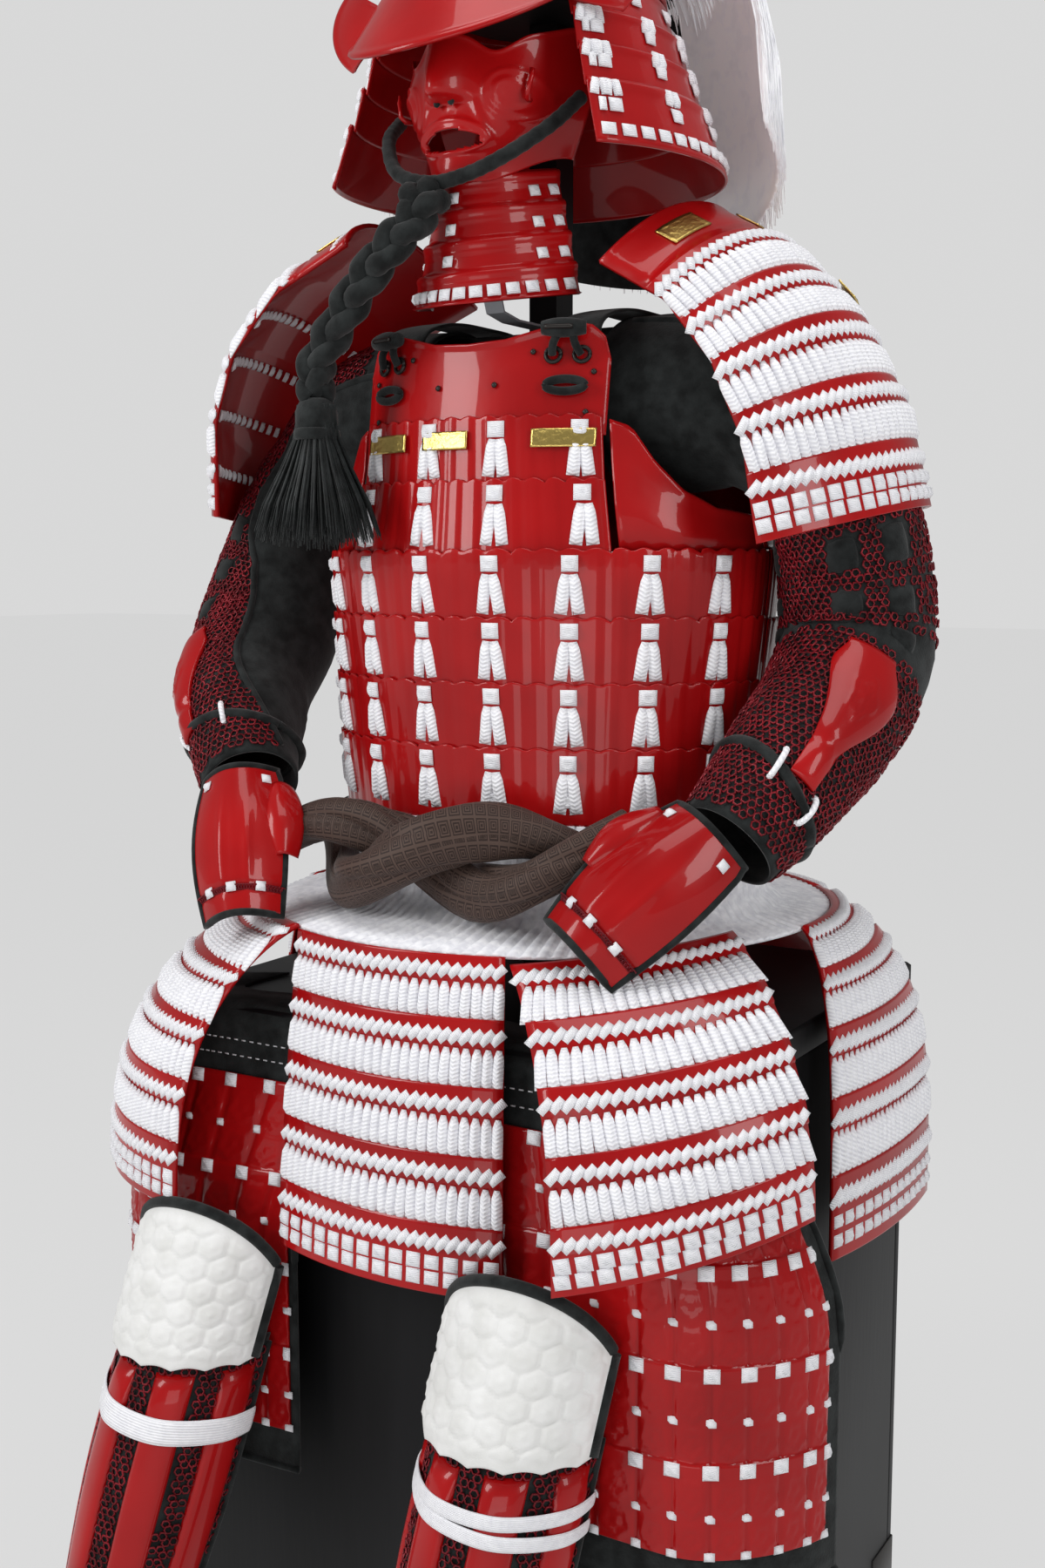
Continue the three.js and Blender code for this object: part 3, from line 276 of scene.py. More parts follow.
# A tree that sets one motif on every point of a piece, turned and sized by the point's own values
def repeatTree():
    tree = bpy.data.node_groups.new("repeatMotif", "GeometryNodeTree")
    face = tree.interface
    face.new_socket("Geometry", in_out="INPUT", socket_type="NodeSocketGeometry")
    motif = face.new_socket("Motif", in_out="INPUT", socket_type="NodeSocketObject")
    paint = face.new_socket("Finish", in_out="INPUT", socket_type="NodeSocketMaterial")
    face.new_socket("Geometry", in_out="OUTPUT", socket_type="NodeSocketGeometry")
    node, link = tree.nodes.new, tree.links.new
    source, result = node("NodeGroupInput"), node("NodeGroupOutput")
    info, place = node("GeometryNodeObjectInfo"), node("GeometryNodeInstanceOnPoints")
    info.inputs["As Instance"].default_value = True
    turn, size = node("GeometryNodeInputNamedAttribute"), node("GeometryNodeInputNamedAttribute")
    for named, text in ((turn, "turn"), (size, "size")):
        named.data_type = "FLOAT_VECTOR"
        named.inputs["Name"].default_value = text
    euler, real = node("FunctionNodeEulerToRotation"), node("GeometryNodeRealizeInstances")
    setPaint = node("GeometryNodeSetMaterial")
    link(source.outputs["Geometry"], place.inputs["Points"])
    link(source.outputs["Motif"], info.inputs["Object"])
    link(info.outputs["Geometry"], place.inputs["Instance"])
    link(turn.outputs["Attribute"], euler.inputs[0])
    link(euler.outputs[0], place.inputs["Rotation"])
    link(size.outputs["Attribute"], place.inputs["Scale"])
    link(place.outputs["Instances"], real.inputs["Geometry"])
    link(real.outputs["Geometry"], setPaint.inputs["Geometry"])
    link(source.outputs["Finish"], setPaint.inputs["Material"])
    link(setPaint.outputs["Geometry"], result.inputs["Geometry"])
    return tree, motif.identifier, paint.identifier


repeatMotif, motifSocket, paintSocket = repeatTree()
motifs = []


def motif(name, points, faces, uv=None):
    made = makeMesh(name, points, faces, whiteLace, uv)
    made.hide_render = True
    motifs.append(made)
    return made


# One motif at each spot: (place, right, up, (width, height, depth) scale)
def repeatOn(name, shape, spots, material):
    cloud = bpy.data.meshes.new(name + "Spots")
    cloud.from_pydata([tuple(np.asarray(s[0]) * mm) for s in spots], [], [])
    turns, sizes = [], []
    for place, right, up, scale in spots:
        right = unit(right)
        out = unit(np.cross(right, up))
        up = np.cross(out, right)
        matrix = Matrix((right, up, out)).transposed()
        turns += list(matrix.to_euler())
        sizes += [scale] * 3 if np.isscalar(scale) else list(scale)
    for key, values in (("turn", turns), ("size", sizes)):
        made = cloud.attributes.new(key, "FLOAT_VECTOR", "POINT")
        made.data.foreach_set("vector", np.array(values, np.float32))
    holder = bpy.data.objects.new(name, cloud)
    bpy.context.scene.collection.objects.link(holder)
    modifier = holder.modifiers.new("repeat", "NODES")
    modifier.node_group = repeatMotif
    modifier[motifSocket] = shape
    modifier[paintSocket] = material
    bpy.context.view_layer.update()
    graph = bpy.context.evaluated_depsgraph_get()
    mesh = bpy.data.meshes.new_from_object(holder.evaluated_get(graph))
    holder.modifiers.clear()
    holder.data = mesh
    mesh.polygons.foreach_set("use_smooth", [True] * len(mesh.polygons))
    return holder


# Place, right and up of a spot on a wall's outer face; up is against v
def onSurface(point, u, v, source, lift=0.0, du=1e-3, dv=1e-3):
    p = point(u, v)
    right = unit(point(u + du, v) - point(u - du, v))
    up = unit(point(u, v - dv) - point(u, v + dv))
    out = unit(np.cross(right, up))
    if np.dot(out, p - np.asarray(source)) < 0:
        out, right = -out, -right
    return p + out * lift, right, up


# Finishes
def finish(name, color, roughness, metallic=0.0, coat=0.0, sheen=0.0, specular=0.5):
    material = bpy.data.materials.new(name)
    material.use_nodes = True
    shader = material.node_tree.nodes["Principled BSDF"]
    shader.inputs["Base Color"].default_value = (*color, 1)
    shader.inputs["Roughness"].default_value = roughness
    shader.inputs["Metallic"].default_value = metallic
    shader.inputs["Coat Weight"].default_value = coat
    shader.inputs["Coat Roughness"].default_value = 0.04
    shader.inputs["Sheen Weight"].default_value = sheen
    shader.inputs["Specular IOR Level"].default_value = specular
    return material


def addNode(material, kind, **values):
    made = material.node_tree.nodes.new("ShaderNode" + kind)
    for name, value in values.items():
        setattr(made, name, value)
    return made


def join(material, a, b):
    material.node_tree.links.new(a, b)


def arithmetic(material, operation, a, b=None):
    made = addNode(material, "Math", operation=operation)
    for socket, value in zip(made.inputs, (a, b)):
        if value is None:
            continue
        if isinstance(value, (int, float)):
            socket.default_value = value
        else:
            join(material, value, socket)
    return made.outputs[0]


def noise(material, scale, detail=2.0, stretch=(1, 1, 1)):
    place, turn = addNode(material, "TexCoord"), addNode(material, "Mapping")
    turn.inputs["Scale"].default_value = stretch
    made = addNode(material, "TexNoise")
    made.inputs["Scale"].default_value = scale
    made.inputs["Detail"].default_value = detail
    join(material, place.outputs["Object"], turn.inputs["Vector"])
    join(material, turn.outputs["Vector"], made.inputs["Vector"])
    return made.outputs["Fac"]


def vary(material, factor, dark, light, low=0.35, high=0.65):
    ramp = addNode(material, "ValToRGB")
    ramp.color_ramp.elements[0].position, ramp.color_ramp.elements[0].color = low, (*dark, 1)
    ramp.color_ramp.elements[1].position, ramp.color_ramp.elements[1].color = high, (*light, 1)
    join(material, factor, ramp.inputs["Fac"])
    join(material, ramp.outputs["Color"], material.node_tree.nodes["Principled BSDF"].inputs["Base Color"])


def raiseBy(material, height, strength, distance, before=None):
    made = addNode(material, "Bump")
    made.inputs["Strength"].default_value = strength
    made.inputs["Distance"].default_value = distance
    join(material, height, made.inputs["Height"])
    if before is not None:
        join(material, before, made.inputs["Normal"])
    join(material, made.outputs["Normal"], material.node_tree.nodes["Principled BSDF"].inputs["Normal"])
    return made.outputs["Normal"]


def weaveCoordinates(material):
    place, split = addNode(material, "UVMap", uv_map="weave"), addNode(material, "SeparateXYZ")
    join(material, place.outputs["UV"], split.inputs[0])
    return split.outputs[0], split.outputs[1]


finishes = {"lacquer": (0.40, 0.005, 0.006), "lacquerDark": (0.30, 0.003, 0.004),
            "lace": (0.95, 0.95, 0.98)}

redLacquer = finish("redLacquer", finishes["lacquer"], 0.3, coat=0.38, specular=0.12)
vary(redLacquer, noise(redLacquer, 9, 3), finishes["lacquerDark"], finishes["lacquer"])
raiseBy(redLacquer, noise(redLacquer, 42, 2), 0.10, 0.004)

whiteLace = finish("whiteLace", finishes["lace"], 0.72, sheen=0.25)
laceU, laceV = weaveCoordinates(whiteLace)
slant = arithmetic(whiteLace, "ABSOLUTE", arithmetic(whiteLace, "SUBTRACT", laceU, 0.5))
plait = arithmetic(whiteLace, "ADD", arithmetic(whiteLace, "MULTIPLY", slant, 9.0),
                   arithmetic(whiteLace, "MULTIPLY", laceV, 60.0))
plaitHeight = arithmetic(whiteLace, "SINE", plait)
raiseBy(whiteLace, plaitHeight, 0.5, 0.0006)
# the lace's colour is darker in the plait's grooves: painted shade, with random tone from the noise on top
vary(whiteLace, arithmetic(whiteLace, "ADD", arithmetic(whiteLace, "MULTIPLY", plaitHeight, 0.25),
                           noise(whiteLace, 160, 2)),
     (0.78, 0.78, 0.83), finishes["lace"], 0.2, 0.6)

strandLace = finish("strandLace", (0.93, 0.93, 0.96), 0.75, sheen=0.2)
vary(strandLace, noise(strandLace, 120, 3), (0.74, 0.74, 0.79), (0.95, 0.95, 0.98))
raiseBy(strandLace, noise(strandLace, 700, 2), 0.4, 0.0006)

blackCloth = finish("blackCloth", (0.012, 0.014, 0.014), 0.95, sheen=0.12, specular=0.2)
vary(blackCloth, noise(blackCloth, 70, 4), (0.006, 0.007, 0.007), (0.02, 0.023, 0.023))
raiseBy(blackCloth, noise(blackCloth, 500, 4), 0.5, 0.0008)

mailMetal = finish("mailMetal", (0.17, 0.008, 0.014), 0.36, metallic=0.3, specular=0.3)
vary(mailMetal, noise(mailMetal, 60, 2), (0.11, 0.004, 0.008), (0.24, 0.01, 0.018))

goldMetal = finish("goldMetal", (0.62, 0.46, 0.14), 0.3, metallic=1.0)
raiseBy(goldMetal, noise(goldMetal, 300, 4), 0.5, 0.001)

darkMetal = finish("darkMetal", (0.035, 0.032, 0.03), 0.42, metallic=0.8)
raiseBy(darkMetal, noise(darkMetal, 260, 4), 0.3, 0.0006)

blackWood = finish("blackWood", (0.004, 0.004, 0.005), 0.5, specular=0.18)
vary(blackWood, noise(blackWood, 14, 4, (1, 1, 0.15)), (0.003, 0.003, 0.0035), (0.007, 0.007, 0.008))
raiseBy(blackWood, noise(blackWood, 180, 5, (1, 1, 0.12)), 0.25, 0.0006)

whiteHair = finish("whiteHair", (0.92, 0.92, 0.95), 0.5, sheen=0.4)
vary(whiteHair, noise(whiteHair, 60, 2), (0.78, 0.78, 0.82), (0.95, 0.95, 0.97))
whiteHair.node_tree.nodes["Principled BSDF"].inputs["Emission Color"].default_value = (1, 1, 1, 1)
# painted light: the hair glows a little so it looks brighter than its lighting makes it
whiteHair.node_tree.nodes["Principled BSDF"].inputs["Emission Strength"].default_value = 0.12

whiteQuilt = finish("whiteQuilt", (0.80, 0.80, 0.79), 0.85, sheen=0.2)
vary(whiteQuilt, noise(whiteQuilt, 40, 3), (0.74, 0.74, 0.72), (0.84, 0.84, 0.83))
raiseBy(whiteQuilt, noise(whiteQuilt, 900, 3), 0.4, 0.0005)

greyStrap = finish("greyStrap", (0.42, 0.44, 0.47), 0.75)
raiseBy(greyStrap, noise(greyStrap, 700, 3), 0.4, 0.0005)

brocade = finish("brocade", (0.045, 0.026, 0.02), 0.62, sheen=0.04, specular=0.25)
fretU, fretV = weaveCoordinates(brocade)


def inCell(value, count):
    return arithmetic(brocade, "FRACT", arithmetic(brocade, "MULTIPLY", value, count))


def fromMiddle(value, count):
    return arithmetic(brocade, "ABSOLUTE", arithmetic(brocade, "SUBTRACT", inCell(value, count), 0.5))


cellU, cellV = fromMiddle(fretU, 6.0), fromMiddle(fretV, 20.0)
nested = inCell(arithmetic(brocade, "MAXIMUM", cellU, cellV), 6.0)
fret = arithmetic(brocade, "GREATER_THAN", nested, 0.5)
raiseBy(brocade, fret, 0.6, 0.0006)
vary(brocade, fret, (0.024, 0.012, 0.009), (0.075, 0.046, 0.036), 0.2, 0.8)

# Camera
azimuth = math.radians(view["azimuth"])
pitch, yaw = math.radians(view["pitch"]), math.radians(view["yaw"])
cameraData = bpy.data.cameras.new("camera")
cameraData.lens, cameraData.sensor_width = view["lens"], 36
cameraData.clip_start, cameraData.clip_end = 0.05, 60
camera = bpy.data.objects.new("camera", cameraData)
bpy.context.scene.collection.objects.link(camera)
camera.location = (math.sin(azimuth) * view["distance"] * mm,
                   -math.cos(azimuth) * view["distance"] * mm, view["height"] * mm)
camera.rotation_euler = (math.pi / 2 - pitch, 0, azimuth + yaw)
bpy.context.scene.camera = camera
bpy.context.scene.view_settings.view_transform = "Standard"
print("camera")

# Many thin strands as one mesh: each is a list of places, and thins towards its ends
def strandMesh(name, material, routes, radius, sides=3):
    points, faces, uv = [], [], []
    for route in routes:
        start, last = len(points), len(route) - 1
        for k, p in enumerate(route):
            t = unit(route[min(k + 1, last)] - route[max(k - 1, 0)])
            across = unit(np.cross(t, (0.31, 0.87, 0.38)))
            up = np.cross(across, t)
            r = radius * (1 - 0.65 * (k / last) ** 3)
            for s in range(sides):
                points.append(p + across * r * cosd(360 * s / sides) + up * r * sind(360 * s / sides))
                uv.append((s / sides, k / last))
        for k in range(last):
            for s in range(sides):
                a, b = start + k * sides + s, start + k * sides + (s + 1) % sides
                faces.append((a, a + sides, b + sides, b))
        faces.append([start + s for s in range(sides)])
        faces.append([start + last * sides + s for s in range(sides)][::-1])
    return makeMesh(name, points, faces, material, uv)


# Chin cord, its plait and tassel
chin = {
    "thick": 12,
    "cord": [(84, -96, 1430), (72, -124, 1404), (44, -150, 1378), (10, -157, 1365),
             (-24, -156.6, 1362), (-66, -146, 1376),
             (-94, -118, 1412), (-100, -92, 1432)],
    "plait": [(-26, -161, 1357), (-28, -170, 1336), (-46, -182, 1312), (-76, -184, 1282),
              (-104, -182, 1250), (-128, -182, 1216),
              (-128, -182, 1190.8)],
    "strand": 9.0, "turns": 2.6, "weave": (8.5, 5.5),
    "tassel": (-128, -182, 1190), "tasselLow": 1057, "head": 18, "spread": 62, "strands": 420, "thread": 1.5,
    "drops": (6, 20, 36, 60, 90),
}


def routeLength(points):
    return sum(np.linalg.norm(b - a) for a, b in zip(points, points[1:]))


def smoothRoute(table, steps):
    points = [vec(*p) for p in table]
    return [alongCurve(points, t) for t in even(steps)]


cordRoute = smoothRoute(chin["cord"], 90)
radii = [chin["thick"] / 2 * (1 + 0.05 * math.sin(k * 1.9)) for k in range(len(cordRoute))]
chinCord = tube("chin_cord_woven", blackCloth, cordRoute, radii, 14)
dress(chinCord, "black_cloth", "chin_cord")
routeLength(cordRoute) * mm

plaitRoute = smoothRoute(chin["plait"], 120)
strandsOfPlait = []
for phase in (0, 120, 240):
    places, sizes = [], []
    for k, p in enumerate(plaitRoute):
        t = k / (len(plaitRoute) - 1)
        along = unit(plaitRoute[min(k + 1, 120)] - plaitRoute[max(k - 1, 0)])
        across = unit(np.cross(along, (0, 1, 0)))
        out = np.cross(across, along)
        swing = 360 * chin["turns"] * t + phase
        loose = 1 + 0.45 * bump(t, 0.06, 0.09)
        inset = 0.35 + 0.65 * smooth(t, 0, 0.06)
        swell = loose * inset
        wide, deep = chin["weave"]
        places.append(p + across * wide * swell * sind(swing) + out * deep * swell * sind(2 * swing))
        sizes.append(chin["strand"] * (0.92 + 0.1 * loose) * (1 + 0.05 * math.sin(k * 0.9 + phase)))
    strandsOfPlait.append(tube("plaitStrand", blackCloth, places, sizes, 12, (0, 1, 0)))
chinPlait = joined("chin_plait_woven", strandsOfPlait)
dress(chinPlait, "black_cloth", "chin_plait")

tx, ty, tz = chin["tassel"]
routes = []
for k in range(chin["strands"]):
    angle, ring = k * 137.5 + chance.uniform(-6, 6), math.sqrt((k + 0.5) / chin["strands"])
    low = chin["tasselLow"] + chance.uniform(0, 14) + 10 * ring
    sway = vec(chance.uniform(-4, 4), chance.uniform(-4, 4), 0)
    route = []
    for drop in (*chin["drops"], tz - low):
        reach = ring * lerp(chin["head"] * 0.9, chin["spread"], smooth(drop, 10, 125))
        reach *= 1.08 if drop < 30 else 1
        route.append(vec(tx + reach * cosd(angle), ty + 0.72 * reach * sind(angle),
                         tz - drop) + sway * (drop / 130) ** 2)
    routes.append(route)
brush = strandMesh("brush", blackCloth, routes, chin["thread"])
knob = tube("knob", blackCloth, [vec(tx, ty, tz - d) for d in (0.4, 4, 12, 22, 30, 36)],
            [9, 15, 18.5, 18.5, 17, 15], 16, (0, 1, 0))
whip = tube("whip", blackCloth, [vec(tx, ty, tz - d) for d in (26, 28, 31, 34, 36)],
            [18.5, 20, 20.4, 20, 18.5], 16, (0, 1, 0))
chinTassel = joined("chin_tassel_threads", [brush, knob, whip])
dress(chinTassel, "black_cloth", "chin_tassel")
routeLength(plaitRoute) * mm
print("chin cord, plait and tassel")

# Body inside the cuirass: height, half width, half depth
bodyTable = [(724, 196, 150), (829, 201, 151), (1053, 213, 160), (1111, 196, 152), (1165, 187, 147),
             (1260, 178, 134)]
rowHeights = {"low": [1053, 997, 942, 887, 829], "high": [1163, 1111, 1053], "lap": 8, "out": 3.5}


def onBody(angle, z, out=0.0):
    _, a, b = between(bodyTable, z)
    return vec((a + out) * sind(angle), -(b + out) * cosd(angle), z)


# Motifs of the lacing, one unit wide or long, thickness in z
# A soft flat body on z = 0: point draws its upper end in, cross presses a groove across it
def pillow(name, wide, high, thick, rows=5, columns=5, point=0.0, cross=0.0, power=0.5):
    points, uv = [], []
    for j in range(rows + 1):
        t = j / rows
        for i in range(columns + 1):
            s = 2 * i / columns - 1
            narrow = 1 - point * max(0, (0.28 - t) / 0.28) ** 1.5
            edge = max(0.0, 1 - abs(s) ** 3) * max(0.0, 1 - abs(2 * t - 1) ** 6)
            crossing = bump(s - (2 * t - 1), 0, 0.28) * 0.6 + bump(s + (2 * t - 1), 0, 0.28) * 0.6
            groove = 1 - cross * crossing
            points.append((s * wide / 2 * narrow, high * (0.5 - t), 0.3 + thick * edge**power * groove))
            uv.append(((s + 1) / 2, t))
    n = len(points)
    points += [(x, y, -0.6) for x, y, _ in points]
    faces, at = [], lambda i, j: j * (columns + 1) + i
    for j in range(rows):
        for i in range(columns):
            faces.append((at(i, j), at(i, j + 1), at(i + 1, j + 1), at(i + 1, j)))
    for i in range(columns):
        faces.append((at(i + 1, 0), n + at(i + 1, 0), n + at(i, 0), at(i, 0)))
        faces.append((at(i, rows), n + at(i, rows), n + at(i + 1, rows), at(i + 1, rows)))
    for j in range(rows):
        faces.append((at(0, j), n + at(0, j), n + at(0, j + 1), at(0, j + 1)))
        faces.append((at(columns, j + 1), n + at(columns, j + 1), n + at(columns, j), at(columns, j)))
    outline = [at(i, 0) for i in range(columns + 1)] + [at(columns, j) for j in range(1, rows + 1)]
    outline += [at(i, rows) for i in range(columns - 1, -1, -1)] + [at(0, j)
            for j in range(rows - 1, 0, -1)]
    faces.append([n + k for k in outline])
    return motif(name, points, faces, uv + uv)


laceStrand = pillow("laceStrand", 8.9, 32, 4.2, rows=5, columns=3, point=0.55)
crossKnot = pillow("crossKnot", 12.5, 11.5, 3.4, rows=4, columns=4, cross=0.5, power=0.35)
plaitStitch = pillow("plaitStitch", 6.6, 17, 3.6, rows=3, columns=3, power=0.6)
bigKnot = pillow("bigKnot", 14.5, 14, 4.0, rows=6, columns=6, cross=0.55, power=0.35)
fanStrand = pillow("fanStrand", 9.4, 34, 3.6, rows=5, columns=4, point=0.35)
ovalKnot = pillow("ovalKnot", 8, 6.5, 3.0, rows=3, columns=3, power=0.6)


def ringMotif(name, radius, wire, around=8, sides=3):
    points, faces = [], []
    for i in range(around):
        for k in range(sides):
            a, b = 360 * i / around, 360 * k / sides
            r = radius + wire * cosd(b)
            points.append((r * cosd(a), r * sind(a), wire + wire * sind(b)))
    for i in range(around):
        for k in range(sides):
            p, q = i * sides + k, i * sides + (k + 1) % sides
            r, s = ((i + 1) % around) * sides + k, ((i + 1) % around) * sides + (k + 1) % sides
            faces.append((p, r, s, q))
    return motif(name, points, faces)


def domeMotif(name, radius, height, rings=3, sides=8):
    points, faces = [(0, 0, height)], []
    for j in range(1, rings + 1):
        a = 90 * j / rings
        points += [(radius * sind(a) * cosd(360 * k / sides), radius * sind(a) * sind(360 * k / sides),
                    height * cosd(a)) for k in range(sides)]
    for k in range(sides):
        faces.append((0, 1 + k, 1 + (k + 1) % sides))
        for j in range(rings - 1):
            a, b = 1 + j * sides + k, 1 + j * sides + (k + 1) % sides
            faces.append((a, a + sides, b + sides, b))
    faces.append([1 + (rings - 1) * sides + k for k in range(sides)][::-1])
    return motif(name, points, faces)


mailRing = ringMotif("mailRing", 3.5, 1.0, around=6)
rivet = domeMotif("rivet", 2.2, 1.5)

# Laced rows of the skirt and the shoulder guards
laced = {"red": 0.16, "plait": 0.22, "zigzag": 0.06, "pitch": 8.8, "knotPitch": 15.5, "plate": 2.2,
         "under": 0.6, "back": 0.2, "rise": 1.8}


# Where strands, stitches and knots sit on a panel of laced rows
def lacedSpots(point, rows, source, lengthAt, heightAt, lastKnots=True, bare=0):
    strands, stitches, knots = [], [], []
    for row in range(bare, rows):
        v0, dv = row / rows, 1 / rows
        high = heightAt(row)
        last = row == rows - 1 and lastKnots
        wide = lengthAt(v0 + dv / 2)
        count = int(wide / laced["pitch"])
        plaitAt = v0 + dv * (laced["red"] + laced["plait"] / 2)
        for i in range(count):
            u = -1 + 2 * (i + 0.5) / count
            p, right, up = onSurface(point, u, plaitAt, source, lift=laced["plate"])
            lean = unit(right * 0.72 + up * 0.62)
            cross = unit(up * 0.72 - right * 0.62)
            wobble = chance.uniform(0.93, 1.07)
            stitches.append((p, cross, -lean, (1.12, high * laced["plait"] / 14.0 * wobble, 1.0)))
            if last:
                continue
            start, end = laced["red"] + laced["plait"] + laced["zigzag"], 1.02
            p, right, up = onSurface(point, u, v0 + dv * (start + end) / 2, source, lift=laced["under"])
            tilt = chance.uniform(-0.05, 0.05)
            strands.append((p, right + up * tilt, up - right * tilt,
                            (wide / count / laced["pitch"] * 1.02, high * (end - start) / 32,
                             chance.uniform(0.85, 1.1))))
        if last:
            count = int(wide / laced["knotPitch"])
            for i in range(count):
                u = -1 + 2 * (i + 0.5) / count
                for t in (0.56, 0.79):
                    p, right, up = onSurface(point, u, v0 + dv * t, source, lift=laced["plate"])
                    knots.append((p, right, up, (1.0, chance.uniform(0.95, 1.1), 1.0)))
    return strands, stitches, knots


# Each row's lacquered head stands out, then falls back under the lacing
def lacedRelief(rows, bare=0):
    def relief(u, v):
        if v * rows < bare - 0.02:
            return laced["plate"] + 1.6 * bump(v * rows, 0.06, 0.07)
        t = (v * rows) % 1.0 if v < 1 - 1e-6 else 0.999
        out = v * rows > rows - 1 or t < laced["red"] + laced["plait"] + 0.02
        return laced["plate"] if out else laced["back"]
    return relief


def lacedLevels(rows):
    marks = [0.0, 0.04, 0.16, 0.39, 0.42, 0.6, 0.8, 0.985]
    return [(row + t) / rows for row in range(rows) for t in marks] + [1.0]


def measure(point, us, v):
    return routeLength([point(u, v) for u in us])


def lacedPanel(name, point, rows, source, lastKnots=True, bare=0):
    us = even(20, -1, 1)
    base = wall(name + "Plates", redLacquer, us, lacedLevels(rows), point, source,
                lacedRelief(rows, bare), 1.8)
    lengthAt = lambda v: measure(point, us, v)
    middle = lambda v: point(0, v)
    heightAt = lambda row: np.linalg.norm(middle(row / rows) - middle((row + 1) / rows))
    strands, stitches, knots = lacedSpots(point, rows, source, lengthAt, heightAt, lastKnots, bare)
    made = [base]
    lift = lambda spots: [(p + unit(np.cross(r, q)) * laced["rise"], r, q, s) for p, r, q, s in spots]
    if strands:
        made.append(repeatOn(name + "Lace", laceStrand, lift(strands), whiteLace))
    made.append(repeatOn(name + "Plait", plaitStitch, lift(stitches), whiteLace))
    if knots:
        made.append(repeatOn(name + "Knots", crossKnot, lift(knots), whiteLace))
    return joined(name, made)


# Skirt panels hang from the waist over the box
skirt = {
    "shelf": 259, "lift": 1.2, "rows": 5, "topZ": 737,
    "panels": {  # from, to, lowX, lowY, lowZ, turn, half, bow, bend, roll
        "front": (-25, 22.2, 8, -300, 472, -2, 113, 20, 1.3, 0),
        "front_left": (23, 65, 282, -280, 532, 41, 103, 20, 2.2, 13),
        "left": (86, 130, 312, 76, 452, 86, 106, 10, 3.2, 0),
        "back_left": (134, 175.5, 156, 318, 455, 156, 102, 18, 3, 0),
        "back_right": (184.5, 226, -156, 318, 455, 204, 102, 18, 3, 0),
        "right": (230, 274, -312, 76, 452, -86, 106, 10, 3.2, 0),
        "front_right": (-57, -25.8, -278, -284, 502, -33, 98, 22, 2.4, 0),
    },
}


def skirtPoint(panel):
    start, end, lowX, lowY, lowZ, turn, half, bow, bend, roll = panel
    radius = skirt["shelf"] + skirt["lift"]

    def point(u, v):
        t = clamp(v, 0, 1)
        out, down = 1 - (1 - t) ** bend, t ** (1 + (bend - 1) / 6)
        angle = lerp(start, end, (u + 1) / 2)
        top = vec(radius * sind(angle), -radius * cosd(angle), skirt["topZ"])
        low = vec(lowX, lowY, lowZ) + vec(cosd(turn), sind(turn), 0) * u * half * cosd(roll)
        low = low - vec(sind(turn), -cosd(turn), 0) * bow * u * u
        rise = u * half * sind(roll) * lerp(0.4, 1, v)
        return vec(lerp(top[0], low[0], out), lerp(top[1], low[1], out),
                   lerp(top[2], low[2], down) + rise)
    return point


for name, panel in skirt["panels"].items():
    piece = lacedPanel("skirt_" + name + "_laced", skirtPoint(panel), skirt["rows"], (0, 0, 600))
    dress(piece, "laced_lacquer", "skirt_" + name)
print("skirt")

# Shoulder guards
guards = {
    "line": [(0, 148, 1351), (0.25, 218, 1313), (0.5, 272, 1253), (0.75, 310, 1176), (1, 328, 1090)],
    "left": (1, -8, 15, 8, 46, 165, 0, 0),  # side, y, yaw, roll, arc, radius, shift, bulge
    "right": (-1, -30, 8, -6, 46, 160, 12, 24),
    "rows": 6,
}


def turned(p, axis, angle):
    c, s = cosd(angle), sind(angle)
    x, y, z = p
    return vec(x, y * c - z * s, y * s + z * c) if axis == "x" else vec(x * c - y * s, x * s + y * c, z)


def guardPoint(guard):
    side, y, yaw, roll, arc, radius, shiftX, bulge = guard

    def point(u, v):
        t = clamp(v, 0, 1)
        _, hereX, hereZ = between(guards["line"], t)
        _, beforeX, beforeZ = between(guards["line"], clamp(v - 0.12, 0, 1))
        _, afterX, afterZ = between(guards["line"], clamp(v + 0.12, 0, 1))
        down = unit(vec(afterX - beforeX, 0, afterZ - beforeZ))
        out = vec(-down[2], 0, down[0])
        angle = u * arc
        local = vec(0, radius * sind(angle), 0) - out * radius * (1 - cosd(angle))
        local = turned(turned(local, "x", roll), "z", -yaw * (0.4 + 0.6 * v))
        shift = shiftX * v + bulge * sind(180 * t)
        return vec(side * (hereX + shift + local[0]), y + local[1], hereZ + local[2])
    return point


def plaqueRelief(u, v):
    edge = 0.5 * (max(abs(u), abs(v)) > 0.86)
    return edge + 0.22 * math.sin(u * 13) * math.sin(v * 6.5 + u * 2)


for side in ("left", "right"):
    guard = guards[side]
    piece = lacedPanel("shoulder_guard_" + side + "_laced", guardPoint(guard), guards["rows"],
                       (guard[0] * 150, 0, 1150), bare=1)
    point, source = guardPoint(guard), (guard[0] * 150, 0, 1150)
    # middle u, v and half sizes
    plaques = [(-0.45, 0.09, 0.17, 0.036), (0.45, 0.09, 0.17, 0.036), (0.72, 0.40, 0.2, 0.034)]
    made = [piece]
    for u0, v0, du, dv in plaques:
        made.append(wall("plaque", goldMetal, even(20, -1, 1), even(8, -1, 1),
                         lambda u, v: point(u0 + u * du, v0 + v * dv), source, plaqueRelief, 1.0,
                         lift=4.4 if v0 < 0.2 else 8.5))
    if side == "right":  # the tied ends of the lacing show on the hollow side
        inner = [onSurface(point, u, (r + 0.25) / 6, (-600, 0, 1150), lift=2.6) for r in range(6)
                 for u in even(22, -0.93, 0.93)]
        made.append(repeatOn("innerKnots", ovalKnot, [(*spot, (0.62, 1.5, 0.8)) for spot in inner],
                             whiteLace))
    piece = joined("shoulder_guard_" + side + "_finished", made)
    dress(piece, "laced_lacquer", "shoulder_guard_" + side)
print("shoulder guards")

